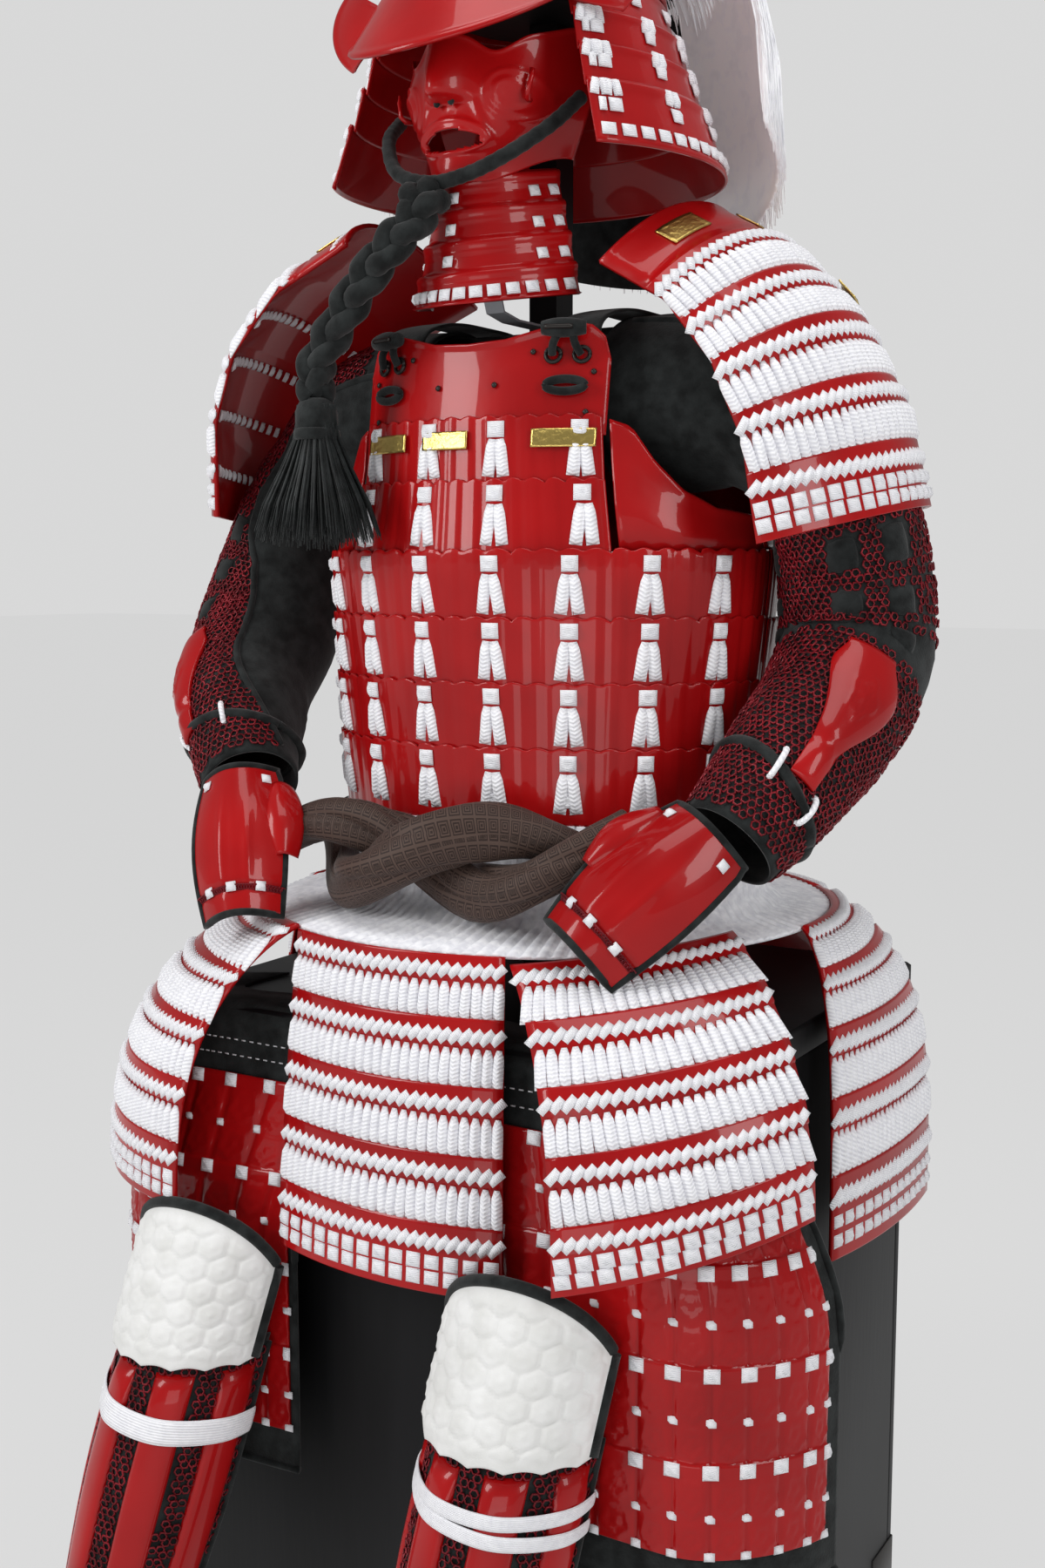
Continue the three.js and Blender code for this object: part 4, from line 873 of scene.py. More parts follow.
# Cuirass: rows of upright scales with shaped heads and a rib each
scales = {"width": 18.6, "rib": 0.9, "step": 0.9, "head": 3.4}


def scaleRow(name, node, start, end, high, low, out, material=redLacquer, lap=None):
    lap = rowHeights["lap"] if lap is None else lap
    top = high + lap
    count = max(2, round(routeLength([onBody(a, low) for a in even(40, start, end)]) / scales["width"]))
    steps = 6
    us = even(count * steps, start, end)
    local = lambda u: ((u - start) / (end - start) * count) % 1.0

    def point(u, v):
        t = local(u)
        head = scales["head"] * (abs(t - 0.42) * 2) ** 2
        z = lerp(top - head * (1 if v < 0.5 else 0), low, v)
        return onBody(u, z, out + rowHeights["out"] * (1 - v))

    def relief(u, v):
        t = local(u + 1e-6)
        return scales["rib"] * bump(t, 0.45, 0.16) + scales["step"] * (1 - t) - 0.3 * (v < 0.02)

    vs = [0, 0.02, 0.06, 0.5, 0.97, 1]
    piece = wall(name, material, us, vs, point, (0, 0, (high + low) / 2), relief, 1.5)
    return dress(piece, "red_lacquer", node) if node else piece


chestParts = [scaleRow(f"chestRow{i}", None, -38, 38, rowHeights["high"][i], rowHeights["high"][i + 1],
                       -1.1 if i else -1.2)
              for i in range(2)]
dress(joined("chest_rows_scales", chestParts), "red_lacquer", "chest_rows")
for i in range(4):
    scaleRow(f"front_row_{i + 1}_scales", f"front_row_{i + 1}", -89.85, 89.85, rowHeights["low"][i],
             rowHeights["low"][i + 1], 0.2)
backParts = []
for i in range(4):
    backParts.append(scaleRow(f"backRow{i}", None, 90.05, 269.95, rowHeights["low"][i],
                              rowHeights["low"][i + 1] + (0 if i == 3 else 0.5),
                              0.2, lap=rowHeights["lap"] if i == 0 else 5))
dress(joined("back_rows_scales", backParts), "red_lacquer", "back_rows")

# Chest plate with a rolled upper edge
chestTop = [(0, 1231), (35, 1233), (62, 1240), (88, 1246), (104, 1243), (113, 1234), (118, 1215)]


def chestPoint(u, v):
    x = 118 * u
    z = lerp(between(chestTop, abs(x))[1], rowHeights["high"][0] - 10, v)
    _, a, b = between(bodyTable, z)
    return vec(x, -(b - 1.2) * math.sqrt(1 - (x / (a - 1.2)) ** 2), z)


chestEdge = {"height": 2.2, "width": 0.05}


def chestRelief(u, v):
    return chestEdge["height"] * (bump(v, 0.02, 0.03) + bump(abs(u), 1, 0.02) * (v > 0.05))


piece = wall("chest_plate_shaped", redLacquer, even(48, -1, 1),
             [0, 0.012, 0.03, 0.055, 0.09, 0.3, 0.6, 0.85, 1],
             chestPoint, (0, 0, 1200), chestRelief, 1.8)
dress(piece, "red_lacquer", "chest_plate")


# Plates under the arms
armhole = [(40, 1166), (46, 1160), (52, 1132), (60, 1108), (70, 1094), (90, 1088)]
for name, side in (("left", 1), ("right", -1)):
    point = lambda u, v: onBody(u * side, lerp(between(armhole, u)[1], rowHeights["low"][0] + 1, v),
                                lerp(0.9, -1.3, v))
    piece = wall("side_plate_" + name + "_shaped", redLacquer, even(30, 40, 89.95),
                 [0, 0.05, 0.1, 0.3, 0.6, 1], point, (0, 0, 1100),
                 lambda u, v: 1.6 * bump(v, 0.05, 0.06), 1.8)
    dress(piece, "red_lacquer", "side_plate_" + name)

# Back plate
backTop = [(0, 1262), (36, 1262), (44, 1225), (55, 1140), (68, 1100), (90, 1086)]
piece = wall("back_plate_shaped", redLacquer, even(60, 90.05, 269.95),
             [0, 0.03, 0.06, 0.3, 0.49, 0.51, 0.53, 0.8, 1],
             lambda u, v: onBody(u, lerp(between(backTop, abs(u - 180))[1], rowHeights["low"][0] + 8.3,
                                         v), 0.2), (0, 0, 1150),
             lambda u, v: 1.6 * bump(v, 0.03, 0.04) + 1.4 * bump(v, 0.51, 0.02), 1.8)
dress(piece, "red_lacquer", "back_plate")

# White lacing on the cuirass: a knot and two fanning strands in each column
columns = {"low": [9.2, 28, 47.5, 68], "high": [10, 32], "back": [14, 40, 66], "fan": 0.13}


def columnSpots(angles, heights, out):
    knots, fans = [], []
    for i in range(len(heights) - 1):
        for angle in angles:
            top, low = heights[i] + 4, heights[i + 1]
            point = lambda u, v: onBody(u, lerp(top, low, v), lerp(rowHeights["out"] + out, out, v))
            size = chance.uniform(0.95, 1.08)
            p, right, up = onSurface(point, angle, 0.14, (0, 0, top), lift=2.4, du=0.1)
            knots.append((p, right, up, (size, 0.95, 1)))
            reach = (top - low) / 60
            for lean in (-1, 1):
                p, right, up = onSurface(point, angle + lean * 1.5, 0.56, (0, 0, top), lift=2.2, du=0.1)
                slope = columns["fan"] * lean + chance.uniform(-0.02, 0.02)
                fans.append((p, right + up * slope, up - right * slope, (1.16, 0.98 * reach, 1)))
    return knots, fans


spots = [columnSpots([s * a for a in columns["low"] for s in (-1, 1)], rowHeights["low"], 0.4),
         columnSpots([s * a for a in columns["high"] for s in (-1, 1)], rowHeights["high"], -0.8),
         columnSpots([180 + s * a for a in columns["back"] for s in (-1, 1)], rowHeights["low"], 1.0)]
made = [repeatOn("columnKnots", bigKnot, [s for group in spots for s in group[0]], whiteLace),
        repeatOn("columnFans", fanStrand, [s for group in spots for s in group[1]], whiteLace)]
lastRow = []
for a in columns["low"]:
    for s in (-1, 1):
        p, right, up = onSurface(lambda u, v: onBody(u, 850 - v, 0.6), s * a, 0, (0, 0, 850), lift=2.6,
                                 du=0.1, dv=1)
        lastRow.append((p, right, up, 0.85))
made.append(repeatOn("columnEnds", bigKnot, lastRow, whiteLace))
dress(joined("cuirass_lacing", made), "white_lace")
print("cuirass")

# Ring mail: a six-sided net of rings, every third place left open
mail = {"pitch": 6.4, "tilt": 0.25, "lift": 0.5}


def mailOn(point, sourceAt, middle, low, high, start, end, du, skip=None):
    spots, v, row = [], start, 0
    while v < end:
        across = np.linalg.norm(point(middle + du, v) - point(middle - du, v)) / (2 * du)
        down = np.linalg.norm(point(middle, v + 2e-3) - point(middle, v - 2e-3)) / 4e-3
        step, shift = mail["pitch"] / across, 0.5 * (row % 2)
        j = math.ceil((low(v) - middle) / step - shift)
        while middle + (j + shift) * step <= high(v):
            u = middle + (j + shift) * step
            if (j - row // 2 - row) % 3 and not (skip and skip(u, v)):
                p, right, up = onSurface(point, u, v, sourceAt(v), lift=mail["lift"], du=du)
                out = unit(np.cross(right, up))
                right = right + out * chance.uniform(-mail["tilt"], mail["tilt"])
                spots.append((p, right, up + out * chance.uniform(-mail["tilt"], mail["tilt"]), 1.0))
            j += 1
        v += mail["pitch"] * 0.866 / down
        row += 1
    return spots


# Sleeves: black cloth with mail on the outer side, square pads at the elbow and a band at the wrist
sleeves = {
    "thickness": 2.5, "around": 64, "along": 50, "armLong": 540, "perDegree": 1.1,
    "mailSpan": (0.1, 0.985), "padRows": (0.445, 0.53, 0.615), "padTall": 0.026, "padWide": 13,
    "padCut": (12, 0.024), "padSwell": 3.0,
    "edge": 3.4, "band": 4.6, "bandAt": 0.885, "bandLean": 0.03, "loopTall": 0.022, "loop": 2.6,
    "left": {
        "side": 1, "padAt": (-150, -74, -32), "middle": -60, "hem": (1, -4), "loops": (-35, -80),
        "limit": [(0, -20, 95), (0.2, -38, 95), (0.28, -58, 95), (0.35, -110, 95), (0.45, -160, 95),
                  (1, -172, 100)],
        "rows": [(92, -2, 1186, 73.9, 88), (150, -2, 1186, 73.9, 81), (204, 6, 1176, 64, 76),
                 (247, 16, 1140, 56, 66), (273, 26, 1088, 57, 70), (283, 34, 1030, 60, 76),
                 (286, 28, 976, 62, 72), (284, -14, 930, 60, 62), (272, -70, 888, 55, 55),
                 (259, -116, 852, 48, 47), (246, -146, 826, 41, 40)],
        "gourd": (0.75, -0.4, 0.5),
    },
    "right": {
        "side": -1, "padAt": (-205, -160, -112), "middle": -150, "hem": (2, 4), "loops": (-125, -60),
        "limit": [(0, -285, -120), (0.2, -285, -116), (0.4, -280, -104), (0.5, -275, -84),
                  (0.65, -270, -62), (0.8, -265, -42),
                  (0.9, -262, -16), (1, -262, 8)],
        "rows": [(92, -2, 1186, 73.9, 88), (150, -2, 1186, 73.9, 81), (204, 2, 1176, 60, 75),
                 (248, 2, 1140, 53, 64), (277, -6, 1088, 57, 70), (292, -20, 1030, 62, 72),
                 (298, -46, 976, 64, 68), (288, -84, 936, 60, 60), (262, -124, 902, 53, 54),
                 (238, -152, 874, 46, 46), (215.5, -173.5, 849, 41.4, 40.2)],
        "gourd": (-0.8, -0.3, 0.5),
    },
    "folds": [  # from angle, from t, to angle, to t, width, height: seen on the inner side of the arm
        (-170, 0.30, -60, 0.42, 7, 2.4), (-150, 0.38, -40, 0.50, 8, 2.8),
        (-120, 0.47, -10, 0.55, 7, -2.2), (-60, 0.52, 30, 0.62, 8, 2.6), (-90, 0.58, 10, 0.70, 6, 2.0),
        (-40, 0.66, 60, 0.76, 7, -2.0), (-100, 0.22, -20, 0.30, 9, 2.2), (20, 0.72, 80, 0.88, 7, 2.2),
        (150, 0.4, 230, 0.52, 8, 2.4), (140, 0.5, 220, 0.6, 8, 2.2), (-70, 0.76, 20, 0.86, 6, 1.8),
    ],
}
gourd = {"at": 0.775, "half": 0.1, "narrow": 13, "wide": 30, "lift": 0.9, "swell": 6}


def sleeveSurface(sleeve):
    route = [vec(sleeve["side"] * r[0], r[1], r[2]) for r in sleeve["rows"]]
    sized = [(i / (len(sleeve["rows"]) - 1), r[3], r[4]) for i, r in enumerate(sleeve["rows"])]

    def surface(angle, t):
        t = clamp(t, 0, 1)
        _, wide, high = between(sized, t)
        tangent = curveTangent(route, t)
        across = unit(np.cross(tangent, (0, 1, 0)))
        up = np.cross(across, tangent)
        return alongCurve(route, t) + across * wide * cosd(angle) + up * high * sind(angle)
    return surface, lambda t: alongCurve(route, clamp(t, 0, 1))


def nearest(angle, others):
    return min(abs((angle - o + 180) % 360 - 180) for o in others)


def foldHeight(folds, angle, t):
    total = 0
    wide, long = sleeves["perDegree"], sleeves["armLong"]
    for a0, t0, a1, t1, width, height in folds:
        ax, ay, bx, by = a0 * wide, t0 * long, a1 * wide, t1 * long
        px, py = ((angle + 180) % 360 - 180) * wide, t * long
        k = clamp(((px - ax) * (bx - ax) + (py - ay) * (by - ay)) / ((bx - ax) ** 2 + (by - ay) ** 2),
                  0, 1)
        away = math.hypot(px - ax - k * (bx - ax), py - ay - k * (by - ay))
        total += height * bump(away, 0, width) * sind(180 * clamp(k, 0.08, 0.92))
    return total


for name in ("left", "right"):
    sleeve = sleeves[name]
    surface, axis = sleeveSurface(sleeve)
    around, along = sleeves["around"], sleeves["along"]
    angles, ts = even(around, 0, 360)[:-1], even(along)
    limit = lambda t: between(sleeve["limit"], t)
    loose = lambda u, v: min(1, v * 12, (1 - v) * 12) * foldHeight(sleeves["folds"], u, v)
    cloth = wall("sleeve_cloth_" + name, blackCloth, angles, ts, surface, axis(0.5), loose,
                 sleeves["thickness"], closed=True)
    grid = np.array([[surface(u, v) for u in angles] for v in ts])
    tall = routeLength([axis(t) for t in ts]) * mm
    dress(cloth, "red_mail", "sleeve_" + name, "forearm_" + name)


    def onCloth(u, v):
        p = surface(u, v)
        return p + unit(p - axis(v)) * (sleeves["thickness"] + loose(u, v))

    pads = [(a, t) for a in sleeve["padAt"] for t in sleeves["padRows"]]
    onPad = lambda u, v: any(nearest(u, [a]) < sleeves["padWide"] and abs(v - t) < sleeves["padTall"]
                             for a, t in pads)
    rings = mailOn(onCloth, axis, sleeve["middle"], lambda v: limit(v)[1], lambda v: limit(v)[2],
                   *sleeves["mailSpan"], 1.0, onPad)
    made = [repeatOn("mail_" + name, mailRing, rings, mailMetal)]
    for a, t in pads:
        wide, tall = sleeves["padCut"]
        corners = lambda u, v: onCloth(a + u * wide * (1 - 0.12 * v * v),
                                       t + v * tall * (1 - 0.12 * u * u))
        made.append(wall("pad", blackCloth, even(8, -1, 1), even(8, -1, 1), corners, axis(t),
                         lambda u, v: sleeves["padSwell"] * (1 - u**4) * (1 - v**4), 0.4))
    column, past = sleeve["hem"]
    edge = [onCloth(limit(t)[column] + past, t) for t in even(60, 0.03, 0.97)]
    made.append(tube("mailEdge", blackCloth, edge, [sleeves["edge"]] * len(edge), 8))
    bandLevel = lambda a: sleeves["bandAt"] + sleeves["bandLean"] * sind(a + 60)
    band = [onCloth(a, bandLevel(a)) for a in even(72, 0, 360)]
    made.append(tube("wristBand", blackCloth, band, [sleeves["band"]] * len(band), 8, flat=1.5))
    for a in sleeve["loops"]:
        away = unit(onCloth(a, sleeves["bandAt"]) - axis(sleeves["bandAt"]))
        loop = [onCloth(a + 2 * sind(s), bandLevel(a) + sleeves["loopTall"] * cosd(s)) + away * 6 * sind(s)
                for s in even(16, -10, 190)]
        made.append(tube("bandLoop", whiteLace, loop, [sleeves["loop"]] * len(loop), 8))
    dress(joined("sleeve_mail_" + name, made), None)

    # Gourd-shaped plate on the outside of the forearm
    way = vec(*sleeve["gourd"])
    angle = max(even(72, 0, 360)[:-1], key=lambda a: float(np.dot(surface(a, gourd["at"]), way)))
    centre = lambda t: (surface(angle, t) + surface(angle + 180, t)) / 2

    def gourdPoint(u, v):
        where = gourd["at"] + gourd["half"] * (2 * v - 1)
        turn = lerp(gourd["narrow"], gourd["wide"], smooth(1 - v, 0.25, 0.8)) - 12 * bump(1 - v, 1, 0.12)
        p = surface(angle + u * turn, where)
        return p + unit(p - centre(where)) * (2.8 + gourd["lift"])

    def gourdRelief(u, v):
        dome = gourd["swell"] * (1 - u * u) * math.sqrt(max(0, 1 - (2 * v - 1) ** 2))
        x, y = u * 1.25, (v - 0.36) * 3.4
        r, a = math.hypot(x, y), math.degrees(math.atan2(y, x))
        flower = 1.1 * (bump(r, 0.42 + 0.07 * cosd(5 * a), 0.06) + bump(r, 0, 0.12)
                        + bump(r, 0.24, 0.07) * max(0, cosd(5 * a)))
        waist = -2.2 * bump(v, 0.72, 0.05)
        return 2 + dome + flower + waist
    plate = wall("gourd_plate_" + name + "_shaped", redLacquer, even(32, -1, 1), even(40), gourdPoint,
                 centre(gourd["at"]), gourdRelief, 1.8)
    dress(plate, "red_lacquer", "gourd_plate_" + name)
print("sleeves")

# Hand guards: lacquered plate with a cloth border, a seam of small stitches and tied knots
hands = {
    # wrist, knuckle, half, bow, turn
    "left": ((238, -160, 838), (160, -236, 748), 48, 26, (0.45, -0.55, 0.7)),
    "right": ((-208, -198.2, 862), (-161, -255.4, 744), 41, 24, (0.3, -0.8, 0.5)),
}
for name in ("left", "right"):
    wrist, knuckle, half, bow, turn = hands[name]
    start, end = vec(*wrist), vec(*knuckle)
    along = unit(end - start)
    out = unit(vec(*turn) - along * np.dot(vec(*turn), along))
    across = np.cross(along, out)

    def handPoint(u, v):
        width = half * (0.82 + 0.18 * sind(180 * v))
        height = bow * (0.4 + 0.6 * sind(20 + 140 * v) - u * u)
        return start + (end - start) * v + across * width * u + out * height

    source = (start + end) / 2 - out * 60
    ridge = lambda u, v: (2.2 * bump(u, 0.25, 0.09) * bump(v, 0.55, 0.3)
                          + 2.0 * bump(u, -0.3, 0.08) * bump(v, 0.6, 0.28) - 2.2 * bump(v, 0.84, 0.02))
    plate = wall("plate", redLacquer, even(34, -1, 1), even(36), handPoint, source, ridge, 2.0)
    edge = [(s, 0) for s in even(14, -1, 1)] + [(1, s) for s in even(14)[1:]]
    edge += [(-s, 1) for s in even(14, -1, 1)[1:]] + [(-1, 1 - s) for s in even(14)[1:-1]]
    rim = [handPoint(u, v) + out * 1.2 for u, v in edge]
    rim.append(rim[0] + (rim[1] - rim[0]) * 0.3)
    made = [plate, tube("border", blackCloth, rim, [3.3] * len(rim), 10, tuple(out))]
    tied = [onSurface(handPoint, u, v, source, lift=3.2)
            for u, v in ((-0.55, 0.84), (0.6, 0.84), (0.05, 0.84), (-0.7, 0.1), (0.7, 0.1))]
    made.append(repeatOn("handKnots", ovalKnot, [(p, r, q, (1.1, 1.3, 1)) for p, r, q in tied],
                         whiteLace))
    seam = [onSurface(handPoint, u, 0.845, source, lift=2.0) for u in even(34, -0.95, 0.95)]
    stitches = [(p, r, q + unit(np.cross(r, q)) * 0.5, 0.8) for p, r, q in seam]
    made.append(repeatOn("handSeam", mailRing, stitches, mailMetal))
    side = 1 if name == "left" else -1

    def thumb(u, v):
        bend = (-4 + 20 * u) * sind(30 + 120 * v)
        return (handPoint(side, 0.12 + 0.5 * v) + out * (6 + 6 * sind(180 * v) - 14 * u * u)
                + across * side * bend)

    made.append(wall("thumb", redLacquer, even(16, -0.7, 1), even(24), thumb, source,
                     lambda u, v: 2 * (1 - u * u), 1.8))
    dress(joined("hand_guard_" + name + "_bound", made), "red_lacquer", "hand_guard_" + name)
print("hand guards")

# Sash: two twisted strands of brocade in front, a band behind
sash = {
    "half": 25, "flat": 0.85, "turns": 1.15, "lift": 3.4, "from": -42, "to": 40, "ruck": 3.6,
    "steps": 110, "sides": 44, "gap": 0.9,
    # depth, twist along the strand, share of the phase, place and width in degrees
    "creases": [(4.2, 260, 1, 150, 10), (3.6, 300, 1, 280, 9), (3.4, 210, 0.5, 60, 8),
                (2.4, 330, 0, 215, 7)],
}


def sashRoute(phase, t):
    gap = sash["half"] + sash["gap"]
    swing = 360 * sash["turns"] * t + phase
    level = lerp(802, 816, t) - 10 * sind(180 * t)
    p = onBody(lerp(sash["from"], sash["to"], t), level,
               sash["lift"] + sash["flat"] * (2 * gap + gap * cosd(swing)))
    return p + vec(0, 0, gap * sind(swing))


for name, phase in (("upper", 0), ("lower", 180)):
    steps, sides, loops, uv = sash["steps"], sash["sides"], [], []
    for k in range(steps + 1):
        t = k / steps
        tangent = unit(sashRoute(phase, min(t + 0.01, 1)) - sashRoute(phase, max(t - 0.01, 0)))
        across = unit(np.cross(tangent, (0, 0, 1)))
        up = np.cross(across, tangent)
        size = 0.66 + 0.34 * sind(180 * clamp(t, 0.02, 0.98))
        for s in range(sides):
            a = 360 * s / sides
            waves = math.sin(6 * math.pi * t + a * 0.052) * bump(t, 0.3 + 0.1 * sind(a), 0.16)
            waves += math.sin(7.3 * t * 2 * math.pi / 3 - a * 0.035 + 2) * bump(t, 0.72, 0.16)
            crease = sum(depth * bump((a + twist * t + share * phase) % 360, at, width)
                         for depth, twist, share, at, width in sash["creases"])
            r = sash["half"] * size - 1 + sash["ruck"] * waves - crease
            loops.append(sashRoute(phase, t) + across * r * sash["flat"] * cosd(a) + up * r * sind(a))
            uv.append((s / sides * 1.4 + 0.25 * t, t * 2.2))
    count = len(loops)
    faces = [(k * sides + s, k * sides + (s + 1) % sides, (k + 1) * sides + (s + 1) % sides,
              (k + 1) * sides + s)
             for k in range(steps) for s in range(sides)]
    loops += [sashRoute(phase, 0), sashRoute(phase, 1)]
    uv += [(0, 0), (0, 1)]
    faces += [(count, (s + 1) % sides, s) for s in range(sides)]
    faces += [(count + 1, steps * sides + s, steps * sides + (s + 1) % sides) for s in range(sides)]
    inside = np.dot(np.cross(loops[1] - loops[0], loops[sides] - loops[0]),
                    loops[0] - sashRoute(phase, 0)) < 0
    faces = [f[::-1] for f in faces] if inside else faces
    dress(makeMesh("sash_front_" + name + "_folded", loops, faces, brocade, uv), "brown_brocade",
          "sash_front_" + name)
band = wall("sash_back_folded", brocade, even(90, 62, 293), even(14), lambda u,
            v: onBody(u, lerp(824, 788, v), 7), (0, 0, 806),
            lambda u, v: 1.6 * math.sin(v * 9 + 0.03 * u) + 1.2 * bump(v, 0.5 + 0.2 * sind(2 * u),
                    0.12), 3.4)
dress(band, "brown_brocade", "sash_back")

# Waist lacing: white strands from the cuirass over the hips to the skirt
waist = {"shelf": 259, "levels": [(0, 828.7, 0), (1, 778, 0.02), (2, 756, 0.12), (3, 743, 0.36),
                                  (4, 735, 1)], "strands": 132}


def waistPoint(u, v):
    _, z, spread = between(waist["levels"], v)
    return lerp(onBody(u, z, -0.6), vec(waist["shelf"] * sind(u), -waist["shelf"] * cosd(u), z), spread)


def strandRib(u, v):
    t = (u / 360 * waist["strands"]) % 1.0
    return 2.6 * math.sqrt(max(0, 1 - (2 * t - 1) ** 2))


lacing = wall("waist_lacing_strands", strandLace, even(waist["strands"] * 4, 0, 360)[:-1],
              [0, 0.2, 0.6, 1, 1.5, 2, 2.5, 3, 3.5, 4],
              waistPoint, (0, 0, 770), strandRib, 1.9, closed=True)
dress(lacing, "white_lace", "waist_lacing")
print("sash and waist")

# Thigh guards: black napped cloth with two stitched bands, four rows of plates with embossed flowers
thighs = {
    "left": ([(44, -243), (120, -243), (200, -243), (254, -246), (277, -236), (284, -206), (284, -160)],
             [(70, -262), (150, -266), (225, -268), (278, -264), (318, -236), (345, -198), (356, -166)]),
    "right": ([(-44, -243), (-120, -243), (-200, -243), (-254, -246), (-277, -236), (-284, -206),
               (-284, -160)],
              [(-100, -262), (-160, -266), (-225, -268), (-270, -264), (-300, -244), (-318, -214),
               (-326, -182)]),
    "top": 648.3, "rowsTop": 603, "rowsLow": 296, "rows": 4, "columns": 11, "thickness": 2.5,
    # how far the cloth is tucked in above the box, its creases at the hem, its two stitched bands
    "tucked": [(0, 78), (1, 12), (2, 0)], "creases": [(0.2, 0.9), (0.45, 1.0), (0.72, 1.1), (0.9, 0.8)],
    "stitches": (632, 618), "bound": 3.4, "fine": 13, "fineDown": 24,
}


def thighPoint(thigh, u, z):
    above, below = (alongCurve([vec(x, y, 0) for x, y in route], clamp(u, 0, 1)) for route in thigh)
    p = lerp(above, below, smooth(thighs["top"] - z, 0, 190))
    return vec(p[0], p[1], z)


def thighOut(thigh, u, z):
    a, b, p = thighPoint(thigh, u - 0.01, z), thighPoint(thigh, u + 0.01, z), thighPoint(thigh, u, z)
    out = unit(vec(b[1] - a[1], a[0] - b[0], 0))
    return out if np.dot(out, vec(p[0], p[1], 0)) > 0 else -out


for name in ("left", "right"):
    thigh = thighs[name]
    levels = [(0, 660.6), (1, 660.9), (2, 648.3), (3, 603), (4, 526), (5, 449.5), (6, 372.8), (7, 296),
              (8, 258)]

    def clothPoint(u, v):
        if v >= 2:
            return thighPoint(thigh, u, between(levels, v)[1])
        edge, back = thighPoint(thigh, u, thighs["top"]), between(thighs["tucked"], v)[1]
        kept = 1 - back / math.hypot(edge[0], edge[1])
        return vec(edge[0] * kept, edge[1] * kept, between(levels, v)[1])


    def drape(u, v):
        creases = sum(high * bump(u, at, 0.05) * smooth(v, 7.0, 8.0) for at, high in thighs["creases"])
        return creases + 0.5 * math.sin(u * 31) * smooth(v, 7.2, 8)

    cloth = wall("thigh_cloth_" + name + "_napped", blackCloth, even(66),
                 [0, 0.5, 1, 1.5, 2, 2.4, 3, 3.5, 4, 4.5, 5, 5.5, 6, 6.5, 7, 7.3, 7.6, 8],
                 clothPoint, (0, 0, 400), drape, thighs["thickness"])
    dress(cloth, "black_cloth", "thigh_cloth_" + name)
    grid = np.array([[clothPoint(u, v) for u in even(44)] for v in even(32, 0, 8)])
    tall = routeLength([clothPoint(0.5, v) for v in even(32, 0, 8)]) * mm

    def platePoint(u, v):
        z = lerp(thighs["rowsTop"], thighs["rowsLow"], v)
        return thighPoint(thigh, u, z) + thighOut(thigh, u, z) * (thighs["thickness"] + 0.6)

    plates = thighs["columns"]

    def plateRelief(u, v):
        t, w = (v * thighs["rows"]) % 1.0, (u * plates) % 1.0
        if v > 1 - 1e-9:
            t = 1.0
        dome = 0.9 * (1 - (2 * w - 1) ** 8) - 1.1 * bump(min(w, 1 - w), 0, 0.035)
        flower = 0
        for middle in (0.36, 0.79):
            x, y = (w - 0.5) * 2.1, (t - middle) * 4.35
            r, a = math.hypot(x, y), math.degrees(math.atan2(x, y))
            flower += 1.5 * bump(r, 0.64 + 0.10 * cosd(5 * a), 0.10) + 1.4 * bump(r, 0.0, 0.17)
            flower += 0.9 * bump(r, 0.36, 0.12) * max(0, cosd(5 * a)) ** 2
        return 0.5 + 1.2 * (1 - t) + dome + flower

    fine, fineDown, rows = thighs["fine"], thighs["fineDown"], thighs["rows"]
    us = [max(0.02, (i + k / fine) / plates) for i in range(plates - 1) for k in range(fine)]
    us.append((plates - 1) / plates)
    vs = [(r + k / fineDown) / rows for r in range(rows) for k in range(fineDown)]
    vs += [(r + 0.995) / rows for r in range(rows)]
    base = wall("plates", redLacquer, sorted(set(us)), sorted(vs) + [1.0], platePoint, (0, 0, 400),
                plateRelief, 1.4)
    squares, ovals = [], []
    for r in range(rows):
        for i in range(plates):
            u = max(i, 0.25) / plates
            size = 0.55 if i in (0, plates - 1) else 1.0
            if i == plates - 1:
                u -= 0.012
            p, right, up = onSurface(platePoint, u, (r + 0.075) / rows, (0, 0, 400), lift=4.2)
            squares.append((p, right, up, (size, 1.0, 1)))
            for t in (0.57,) if r < rows - 1 else (0.57, 0.965):
                p, right, up = onSurface(platePoint, u, (r + t) / rows, (0, 0, 400), lift=2.6)
                ovals.append((p, right, up, (1.05, chance.uniform(0.9, 1.1), 1)))
    made = [base, repeatOn("plateKnots", crossKnot, squares, whiteLace),
            repeatOn("plateOvals", ovalKnot, ovals, whiteLace)]
    dress(joined("thigh_plates_" + name + "_embossed", made), "red_lacquer", "thigh_plates_" + name)
    edges = []
    for z in thighs["stitches"]:  # running stitches along the upper border
        stitches = [onSurface(lambda a, b: thighPoint(thigh, a, b), u, z, (0, 0, 400), lift=2.9,
                              dv=-1.0) for u in even(52, 0.03, 0.97)]
        edges.append(repeatOn("stitches", ovalKnot, [(*spot, (0.55, 0.18, 0.3)) for spot in stitches],
                             whiteLace))
    borders = [[(u, z) for z in even(30, 640, 262)] for u in (0.004, 0.996)]
    borders.append([(u, 260) for u in even(40)])
    for border in borders:
        route = [thighPoint(thigh, u, z) + thighOut(thigh, u, z) * 2.4 for u, z in border]
        edges.append(tube("border", blackCloth, route, [thighs["bound"]] * len(route), 8))
    dress(joined("thigh_binding_" + name, edges), None)
print("thigh guards")

